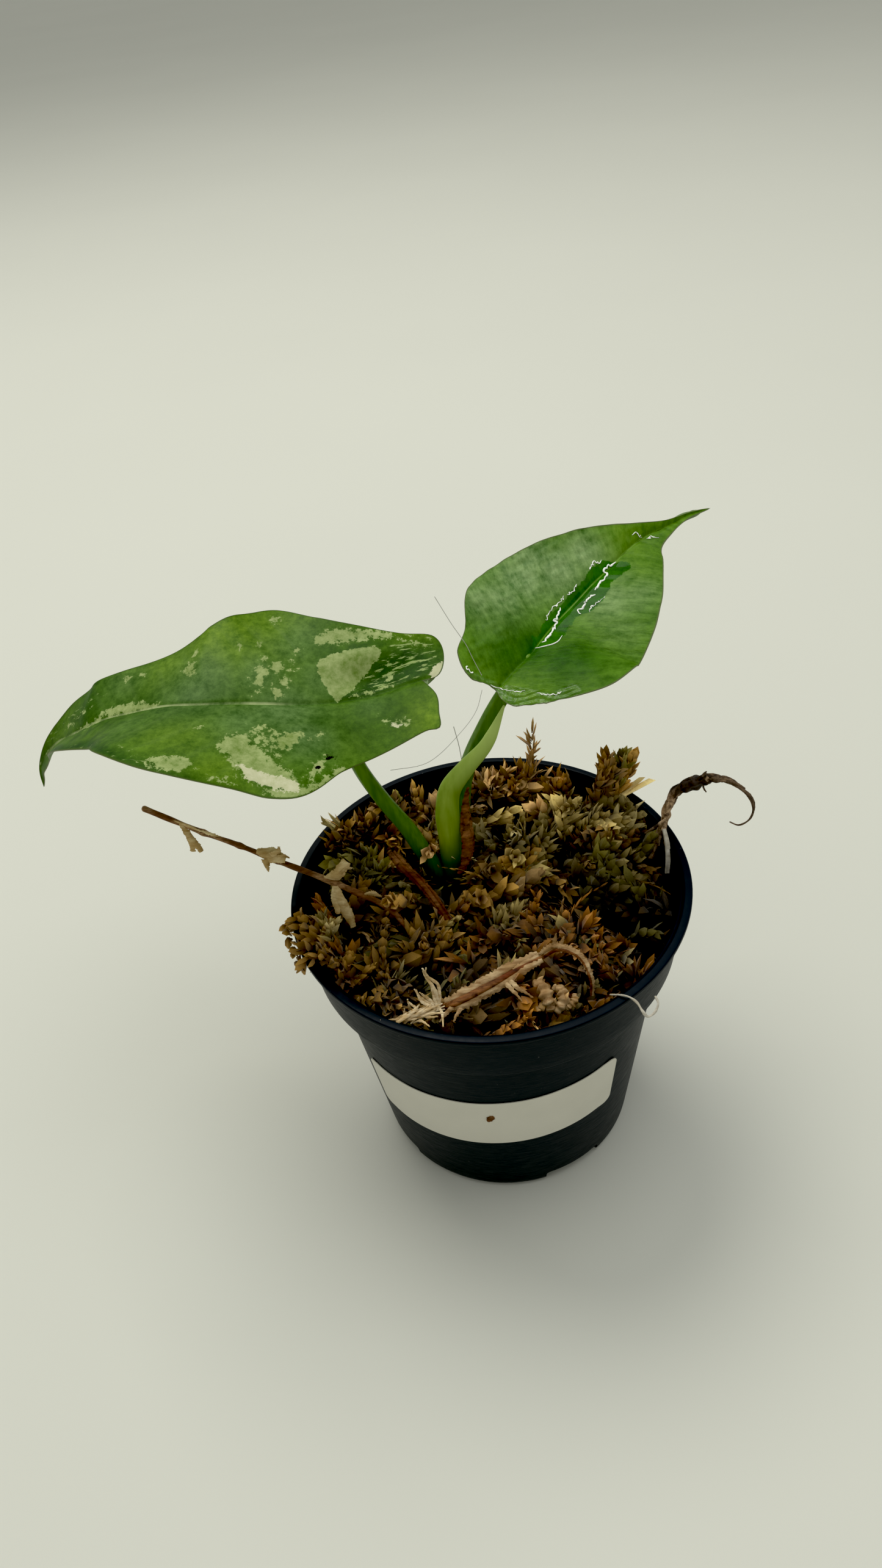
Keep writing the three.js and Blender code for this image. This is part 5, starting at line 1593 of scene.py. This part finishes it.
# %% [markdown]
# ## Dry twig with papery bracts
# The old flower stalk dried to a thin red-brown rod with joints, and at each joint a few bracts
# are left, papery and ragged. The rod is a tube with swollen joints. A bract is a strip, cupped
# across and torn at its edges, then thickened. Dead stems share one finish: matt, with a grain
# drawn out along them that is dark in its furrows and pale where it is worn.

# %% Twig
TWIG = [
    (-20, -13, 80.5), (-27, -7.6, 89), (-37.5, -3.6, 94), (-48, 0.6, 97.4), (-57.5, 4.6, 99.8),
    (-67, 8.2, 103), (-77, 12.6, 105), (-92, 16.6, 112),
]
JOINTS = [0.33, 0.53, 0.66, 0.79]


def jointed(angle, share):
    swollen = sum(np.exp(-(((share - at) / 0.012) ** 2)) for at in JOINTS)
    furrow = 0.1 * np.cos(3 * angle + 4 * share) + 0.06 * np.sin(8 * angle + 30 * share)
    return 1 + 0.35 * swollen + furrow + 0.08 * np.sin(share * 57)


twig = tube("flower_stalk", TWIG, [0.7, 0.85, 0.85, 0.8, 0.7, 0.65, 0.7, 0.85], sides=24, steps=200,
            skin=jointed)


def dry_wood(name, dark, middle, light, grain=1100.0):
    material, tree, shader, place = new_material(name, Roughness=0.75, Specular_IOR_Level=0.3)
    drawn_out = add(tree, "Mapping", {"Vector": place, "Scale": (0.25, 1, 1)})
    streak = add(tree, "TexNoise", {"Vector": drawn_out, "Scale": grain, "Detail": 5.0,
                                    "Roughness": 0.7})
    cloud = add(tree, "TexNoise", {"Vector": place, "Scale": 130.0, "Detail": 4.0})
    fine = add(tree, "MapRange", {"Value": streak, "From Min": 0.35, "From Max": 0.66})
    worn = add(tree, "MapRange", {"Value": cloud, "From Min": 0.45, "From Max": 0.62})
    bare = add(tree, "MixRGB", {0: worn, 1: middle, 2: light})
    tone = add(tree, "MixRGB", {0: fine, 1: dark, 2: bare})
    skin = add(tree, "Bump", {"Height": streak, "Strength": 0.6, "Distance": 0.0004})
    plug(tree, shader, Base_Color=tone, Normal=skin)
    return material


red_brown = dry_wood("red_brown_stalk", "#4a2a16", "#7d5330", "#b89468")
papery = dry_wood("papery_bract", "#a58650", "#ccb27e", "#e4d2a2", 500.0)
hand_over(twig, red_brown, "dry_twig", "dry_twig", smooth=60)

# %% Bracts
BRACTS = [
    # path and widths, in mm
    ([(-82, 13.6, 107.6), (-80.4, 12.4, 104), (-80.2, 12.0, 101), (-80.4, 11.8, 98.6)],
     [1.0, 1.9, 1.7, 1.2]),
    ([(-80.6, 12.6, 104.6), (-79.2, 12.0, 101.4), (-78, 11.6, 98.4)], [1.4, 1.7, 1.3]),
    ([(-84, 14.2, 108.4), (-80, 12.8, 106.8), (-76, 11.8, 105.2)], [0.4, 1.8, 0.5]),
    ([(-77, 12, 105.6), (-73.6, 10.8, 105), (-70.4, 9.8, 103.4), (-67.9, 9, 102.6)],
     [0.5, 1.0, 1.2, 0.8]),
    ([(-61.4, 5.6, 102.2), (-57.4, 4.0, 101.6), (-53.6, 2.6, 100.8)], [1.4, 4.4, 1.8]),
    ([(-57, 3.6, 101.4), (-55.2, 3.4, 103.2), (-54.7, 3.6, 104.8)], [2.6, 1.8, 0.3]),
    ([(-55.6, 3.2, 101.2), (-54, 3.4, 101.4), (-52.6, 3.6, 100.4)], [2.4, 1.6, 0.3]),
    ([(-59, 3.8, 100.6), (-59, 3.4, 98.6), (-59, 3.4, 96.4)], [2.4, 1.3, 0.2]),
    ([(-43.6, -1.4, 96.6), (-40, -2.4, 98.2), (-38.4, -1.8, 100), (-36.9, -1, 101.6)],
     [0.8, 3.2, 2.8, 2.4]),
    ([(-38.6, -2.6, 98.6), (-37.2, -1.6, 99.2), (-35.8, -1, 98.8)], [2.4, 2.2, 1.0]),
    ([(-40.4, -3.6, 95.4), (-39.8, -5.4, 92), (-38.4, -6.6, 87.6), (-37.4, -7.6, 83.4)],
     [1.4, 2.6, 2.9, 1.4]),
    ([(-41, -3.4, 95.4), (-41.4, -5.2, 92), (-41, -6.8, 88.2)], [1.2, 2.3, 1.2]),
    ([(-33, -6.2, 94), (-31, -6.6, 94.4), (-28.6, -6.8, 93.2)], [0.6, 1.8, 0.5]),
]
bracts = []
for number, (path, widths) in enumerate(BRACTS):
    facing = (0.3 * math.sin(number * 2.1), -0.85, 0.5 * math.cos(number * 1.7))
    bracts.append(ribbon(f"bract_{number}", path, widths, facing, cup=0.14 + 0.05 * (number % 3),
                         thickness=0.18, ragged=0.1, columns=8, steps=30))
bracts = join_as("papery_bracts", bracts)
hand_over(bracts, papery, "dry_twig", "dry_twig", smooth=50)

# %% [markdown]
# ## The dry curl and the strand at its foot
# The curl is a shrivelled leaf stalk: several flattened strands twisted together, lumpy where it
# turns over, thinning to a wiry hook. Three ribbons wind round one rough tube, and a few torn
# fibres stand off it. The strand that hangs from it is a peeled, flat, pale fibre.

# %% Curl
CURL = [
    (45.6, 12, 80), (50.2, 15.8, 90), (52.2, 18.4, 94.6), (55, 20.4, 97.6), (60, 19.6, 100.4),
    (64.6, 16.8, 103.2), (69.2, 14.2, 102.8), (72.2, 11.8, 100.2), (73.2, 10.4, 97),
    (72.2, 9.6, 94), (69.4, 9.8, 92), (67.2, 11.2, 92.2),
]
CURL_RADII = [1.0, 0.7, 0.75, 0.9, 1.1, 1.3, 1.15, 0.5, 0.4, 0.34, 0.26, 0.16]


def shrivelled(angle, share):
    fold = 0.26 * np.cos(3 * angle + 26 * share) + 0.14 * np.cos(5 * angle - 61 * share + 1)
    lumps = 0.4 * np.sin(71 * share) * np.sin(37 * share + 2)
    lumps = lumps + 0.5 * np.exp(-(((share - 0.5) / 0.06) ** 2))
    return 1 + (fold + lumps) * np.clip(1.4 - share, 0.15, 1)


curl = tube("shrivelled_curl", CURL, CURL_RADII, sides=28, steps=260, skin=shrivelled)
windings = [curl]
CURL_STEPS, TURNING = 60, 21  # stations along the curl, and radians that a winding turns
curl_line = smooth_path(CURL, CURL_STEPS)[0]
share = np.linspace(0, 1, CURL_STEPS)
tangent = unit(np.gradient(curl_line, axis=0))
side = unit(np.cross(tangent, (0.31, -0.9, 0.3)))
for k, phase in enumerate((0.4, 2.5, 4.6)):
    size = evenly(share, CURL_RADII) * (0.9 + 0.3 * np.sin(share * (19 + 4 * k)))
    turning = phase + share * TURNING
    off = (side * (np.cos(turning) * size)[:, None]
           + np.cross(side, tangent) * (np.sin(turning) * size)[:, None])
    path = (curl_line + off)[4:46 + 4 * k:3]
    windings.append(ribbon(f"winding_{k}", path, [0.8, 1.1, 1.0, 1.2, 0.8, 0.3], (0.2, -0.8, 0.5),
                           cup=0.2, thickness=0.3, ragged=0.04, columns=4, steps=110))
CURL_FIBRES = [
    ([(50.6, 14.8, 92), (47.6, 13.4, 91), (44.2, 12.4, 89.6)], 0.9),
    ([(50.6, 14, 91.4), (48.6, 11.4, 89.6), (47.6, 9, 87.6)], 1.0),
    ([(50.4, 14, 91), (49.4, 11, 88.6), (50, 8, 85.4)], 0.8),
    ([(62.4, 17.2, 102.6), (60.8, 17.4, 104.6), (61.6, 17.6, 105.6)], 1.1),
    ([(61, 19, 101), (61.4, 18.4, 98.8), (62, 18, 97.8)], 0.5),
]
for path, width in CURL_FIBRES:
    windings.append(ribbon("curl_fibre", path, [width, width * 0.9, 0.2], (0.3, -0.8, 0.5),
                           cup=0.25, thickness=0.3, ragged=0.05, columns=4, steps=16))
curl = join_as("shrivelled_curl", windings)
material, tree, shader, place = new_material("shrivelled_stalk", Roughness=0.6,
                                             Specular_IOR_Level=0.4)
share = add(tree, "Attribute", {}, out=2, attribute_name="share")
streak = add(tree, "TexNoise", {"Vector": place, "Scale": 900.0, "Detail": 5.0, "Roughness": 0.7})
cloud = add(tree, "TexNoise", {"Vector": place, "Scale": 170.0, "Detail": 4.0})
fine = add(tree, "MapRange", {"Value": streak, "From Min": 0.36, "From Max": 0.64})
worn = add(tree, "MapRange", {"Value": cloud, "From Min": 0.44, "From Max": 0.58})
tan = add(tree, "MixRGB", {0: worn, 1: "#4a3220", 2: "#8a6844"})
tan = add(tree, "MixRGB", {0: fine, 1: tan, 2: "#c0a27c"})
burnt = add(tree, "MixRGB", {0: fine, 1: "#0d0704", 2: "#3f2b1b"})
# It is tan at its foot, nearly black where it turns over, and brown again along the hook.
turned = add(tree, "Math", {0: share, 1: 0.48}, operation="SUBTRACT")
turned = add(tree, "Math", {0: turned}, operation="ABSOLUTE")
blackened = add(tree, "MapRange", {"Value": turned, "From Min": 0.17, "From Max": 0.08})
hooked = add(tree, "MapRange", {"Value": share, "From Min": 0.56, "From Max": 0.68, "To Max": 0.75})
tone = add(tree, "MixRGB", {0: blackened, 1: tan, 2: burnt})
tone = add(tree, "MixRGB", {0: hooked, 1: tone, 2: burnt})
skin = add(tree, "Bump", {"Height": streak, "Strength": 0.8, "Distance": 0.0006})
plug(tree, shader, Base_Color=tone, Normal=skin)
hand_over(curl, material, "dry_root", "curled_root", smooth=55)

# %% Pale strand
WHITE_STRAND = [(49.4, 11.4, 91.6), (49.8, 8.4, 88.6), (49.6, 5.6, 85), (49.2, 4.2, 81.6)]
strand = ribbon("peeled_strand", WHITE_STRAND, [1.0, 1.35, 1.3, 1.2], (0.2, -0.8, 0.5), cup=-0.12,
                thickness=0.4, columns=8, steps=60)
bleached = dry_wood("bleached_fibre", "#a29a88", "#c4bdab", "#dcd8ca", 600.0)
hand_over(strand, bleached, "pale_strand", "white_strand", smooth=50)

# %% [markdown]
# ## Dry stalks on the moss
# Two stalks of fallen leaves lie on the moss. Both have split along their length, so each is a
# core in an open sheath with torn ends, and the sheath of the one at the front is paler.

# %% Stalk by the crown
CROWN_STALK = [
    (-26.6, 13.4, 90), (-24, 8.6, 89.6), (-19, 2.4, 88.4), (-14.6, -4, 86.4), (-11, -10, 83),
]


def split(angle, share):
    return 1 + 0.22 * np.cos(2 * angle + 5 * share) + 0.1 * np.cos(5 * angle + 11 * share)


crown_parts = [tube("crown_core", CROWN_STALK, [0.5, 0.85, 0.95, 0.8, 0.5], sides=20, steps=90,
                    skin=split)]
for k, (start, stop, away, width) in enumerate([
    (0, 4, (-0.7, 0, 0.4), 1.9), (0, 3, (0.9, 0.3, 0.3), 1.5),
    (1, 5, (0.5, 0.6, 0.5), 1.2), (2, 5, (-0.8, -0.3, 0.2), 1.1),
]):
    path = np.asarray(CROWN_STALK[start:stop], float) + away
    widths = [width * 0.4, width, width * 0.9, width * 0.3]
    crown_parts.append(ribbon(f"crown_sheath_{k}", path, widths, (-0.5, -0.5, 0.7), cup=0.22,
                              thickness=0.25, ragged=0.16, columns=6, steps=44))
# The papery sheath of an older leaf still hugs the right side of the new leaf's foot.
for path, widths in [
    ([(-3.4, 20, 105.7), (-4.5, 18.5, 99.3), (-4.6, 16.5, 95), (-4.6, 13.5, 90.1)],
     [0.6, 2.2, 3.6, 3.0]),
    ([(-4.6, 17, 97.3), (-4.4, 14, 92.6), (-5.7, 10.5, 87.2), (-8.1, 8.5, 84.2)],
     [1.2, 3.6, 3.2, 1.0]),
]:
    crown_parts.append(ribbon("old_sheath", path, widths, (0.3, -0.8, 0.5), cup=0.2, thickness=0.25,
                              ragged=0.14, columns=8, steps=40))
crown = join_as("crown_stalk_remains", crown_parts)
rust = dry_wood("rust_brown_stalk", "#33160a", "#6e3617", "#9c6a3c", 800.0)
hand_over(crown, rust, "dry_twig", "crown_stalk", smooth=55)

# %% Stalk at the front
FRONT_STALK = [
    (-14.6, -37.6, 84), (-11, -40.4, 87.2), (-3, -36.6, 88), (4, -33, 88.8), (11, -30.4, 90.4),
    (15.6, -31.6, 94.4), (20.4, -33.6, 93), (22.6, -37, 89), (22.6, -38.6, 84),
]
front_core = tube("front_core", FRONT_STALK, [0.7, 1.3, 1.3, 1.0, 0.8, 0.6, 0.55, 0.5, 0.4],
                  sides=20, steps=160, skin=split)
sheaths = []
for k, (start, stop, away, widths) in enumerate([
    (0, 5, (-0.6, 1.2, 0.6), [0.8, 2.6, 3.0, 2.4, 1.2]),
    (0, 5, (0.5, -1.1, 0.3), [0.6, 2.2, 2.6, 2.0, 1.0]),
    (3, 8, (0, 0.3, 0.5), [0.8, 1.5, 1.7, 1.3, 0.8]),
    (4, 9, (0.3, -0.2, 0.4), [0.6, 1.4, 1.5, 1.1, 0.4]),
    (4, 7, (-0.4, 0.4, 0.9), [0.4, 1.5, 1.2, 0.2]),
]):
    path = np.asarray(FRONT_STALK[start:stop], float) + away
    sheaths.append(ribbon(f"front_sheath_{k}", path, widths, (0.1, -0.6, 0.8), cup=0.24,
                          thickness=0.3, ragged=0.2, columns=8, steps=70))
FRONT_FIBRES = [
    [(-11, -40.8, 87.6), (-13.4, -42.8, 87.2), (-15, -44.2, 86)],
    [(-9, -41, 87.6), (-10.6, -43.4, 87.4), (-11.6, -44.8, 86.4)],
    [(2.6, -34.8, 88.6), (5, -37.8, 88.2), (8.2, -39.8, 86.8)],
    [(1.4, -35, 88.6), (3.8, -38.6, 87.8), (5.6, -40.6, 86.6)],
    [(14.4, -31, 94), (14.8, -30.4, 96.6), (15.2, -30.2, 98.6)],
    [(15.2, -31.4, 94.4), (16.6, -30.8, 96.4), (17, -30.4, 97.4)],
]
for path in FRONT_FIBRES:
    sheaths.append(ribbon("front_fibre", path, [1.1, 0.9, 0.15], (0.1, -0.6, 0.8), cup=0.2,
                          thickness=0.25, ragged=0.1, columns=4, steps=18))
sheath = join_as("front_sheath", sheaths)
pale_straw = dry_wood("pale_straw_stalk", "#7c5c38", "#ab8a5e", "#cdb48a", 800.0)
hand_over(front_core, rust, "pale_stalk", "front_stalk", smooth=55)
hand_over(sheath, pale_straw, "pale_stalk", "front_stalk", smooth=55)

# %% [markdown]
# ## Fibres, hairs and crumbs
# Small things make the heap believable: a knot of pale root fibres, three bleached, wormy bits
# of moss stem, stray hairs between the leaves, a thread over the lip and a crumb on the label.

# %% Knot of pale fibres and wormy stems
draw = np.random.default_rng(31)
knot = []
KNOT_PATHS = [
    [(-24.6, -43.6, 86.6), (-22, -44.4, 88.2), (-18, -42.6, 88.4), (-13.6, -41, 87.4)],
    [(-25, -43.2, 86), (-24, -44.2, 88.6), (-21, -43, 89.4), (-20.4, -41, 88)],
    [(-24.8, -43.4, 87), (-26.2, -43.6, 85.6), (-24.4, -43.2, 84.4)],
    [(-14.6, -40.4, 87), (-15.4, -38.6, 91), (-16.6, -37.4, 94.6), (-17.4, -37, 97.6)],
    [(-15, -40.2, 87.4), (-16, -39, 90), (-16.4, -38, 93)],
    [(-16, -40.6, 87), (-18.6, -39.8, 90.4), (-19.6, -39, 92.6)],
]
for path in KNOT_PATHS:
    for _ in range(3):
        shifted = np.asarray(path) + draw.normal(0, 0.45, (len(path), 3))
        knot.append(ribbon("knot_fibre", shifted, [0.4, 0.75, 0.6, 0.15], (0.1, -0.6, 0.8), cup=0.2,
                           thickness=0.22, ragged=0.05, columns=3, steps=22))
for _ in range(16):
    middle = np.array((-21.5, -42.4, 87.6)) + draw.normal(0, 1, 3) * (3.2, 1.4, 0.7)
    heading = unit(draw.normal(0, 1, 3) * (1.2, 0.8, 0.5))
    reach = draw.uniform(2.4, 5)
    path = [middle - heading * reach, middle + draw.normal(0, 0.6, 3), middle + heading * reach]
    knot.append(ribbon("knot_fibre", path, [0.15, 0.6, 0.15], (0.1, -0.6, 0.8), cup=0.2,
                       thickness=0.2, ragged=0.05, columns=3, steps=14))
knot = join_as("knot_of_fibres", knot)
fibre_tone = dry_wood("pale_root_fibre", "#b2925f", "#dcc294", "#f2e3c0", 700.0)
hand_over(knot, fibre_tone, None, smooth=55)

worms = []


def lumpy(angle, share):
    return 1 + 0.2 * np.sin(34 * share) + 0.12 * np.cos(3 * angle + 20 * share)


WORMS = [
    # path and radii, in mm
    ([(9, -34.4, 86), (10.6, -37.4, 87.6), (11.6, -40.4, 87), (12.4, -43, 84.8)],
     [0.8, 1.5, 1.7, 1.2]),
    ([(13.4, -36.4, 86), (15.4, -38.8, 87), (15.4, -41.2, 86.2), (13.2, -43.2, 84.4)],
     [0.7, 1.3, 1.4, 1.0]),
    ([(18.4, -39.4, 86.4), (18, -41.4, 86.2), (15.8, -42.6, 84.8)], [0.6, 1.0, 0.8]),
]
for path, radii in WORMS:
    worms.append(tube("wormy_stem", path, radii, sides=18, steps=60, skin=lumpy))
worms = join_as("wormy_stems", worms)
hand_over(worms, pale_straw, None, smooth=60)

# %% Hairs, thread and crumb
HAIRS = [
    ([(-6.6, 15, 169), (-3.2, 15, 161), (-0.2, 15.4, 154.5), (1.0, 16, 150.4),
      (3.0, 16.2, 144.6)], 0.075),
    ([(2.8, 18, 139), (0.8, 18, 132.6), (-3.7, 18, 126.2), (-13.5, 18, 117.1),
      (-23.6, 18, 115.7)], 0.07),
    ([(-5.5, 21, 126.1), (-4.6, 21, 119.4), (-4.3, 21, 114.7)], 0.1),
]
hairs = [tube("hair", path, [radius] * 3, sides=6, steps=90) for path, radius in HAIRS]
hairs = join_as("stray_hairs", hairs)
material, tree, shader, place = new_material("grey_hair", Roughness=0.45)
banded = add(tree, "TexNoise", {"Vector": place, "Scale": 300.0, "Detail": 2.0})
plug(tree, shader, Base_Color=add(tree, "MixRGB", {0: banded, 1: "#b4b4ad", 2: "#d4d4cc"}))
hand_over(hairs, material, None, smooth=80)

THREAD = [
    (26.6, -41.6, 87.6), (28.8, -43.4, 89.4), (30.8, -44.6, 89.8), (32.4, -46.4, 89.6),
    (33.4, -48.2, 88.6), (34.6, -49.0, 87.4), (36.2, -48.2, 87.6), (37.4, -46.4, 88.8),
    (36.9, -44.9, 89.8),
]
THREAD_RADII = [0.14, 0.22, 0.2, 0.28, 0.3, 0.34, 0.26, 0.3, 0.2]
thread = tube("thread_over_the_lip", THREAD, THREAD_RADII, sides=12, steps=120, skin=lumpy)
hand_over(thread, bleached, None, smooth=60)

crumb_spot = label_place(np.array([0.512]), np.array([0.66]), 0.3)[0]
crumb_line = crumb_spot + [(-0.7, -0.1, -1.5), (0.1, -0.1, 0), (0.9, -0.1, 1.4)]
crumb = tube("crumb_on_label", crumb_line, [0.5, 1.05, 0.5], sides=16, steps=24, flatness=0.35,
             facing=(0, -1, 0), skin=lumpy)
hand_over(crumb, red_brown, None, smooth=60)

# %% [markdown]
# The corm is hidden in the moss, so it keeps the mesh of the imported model, with a dry brown skin.

# %% Corm and roots
corm_skin = dry_wood("corm_skin", "#2e1a0c", "#6b4626", "#9a7550", 500.0)
dress(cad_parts["corm_with_roots"], corm_skin)

# %% [markdown]
# ## Size
# The box of the finished plant is printed beside the box of the imported model.

# %% Size and finish
dressed_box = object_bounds()
for name, box in (("packed", cad_box), ("dressed", dressed_box)):
    print(name, [[round(float(v) / MM, 1) for v in corner] for corner in box])
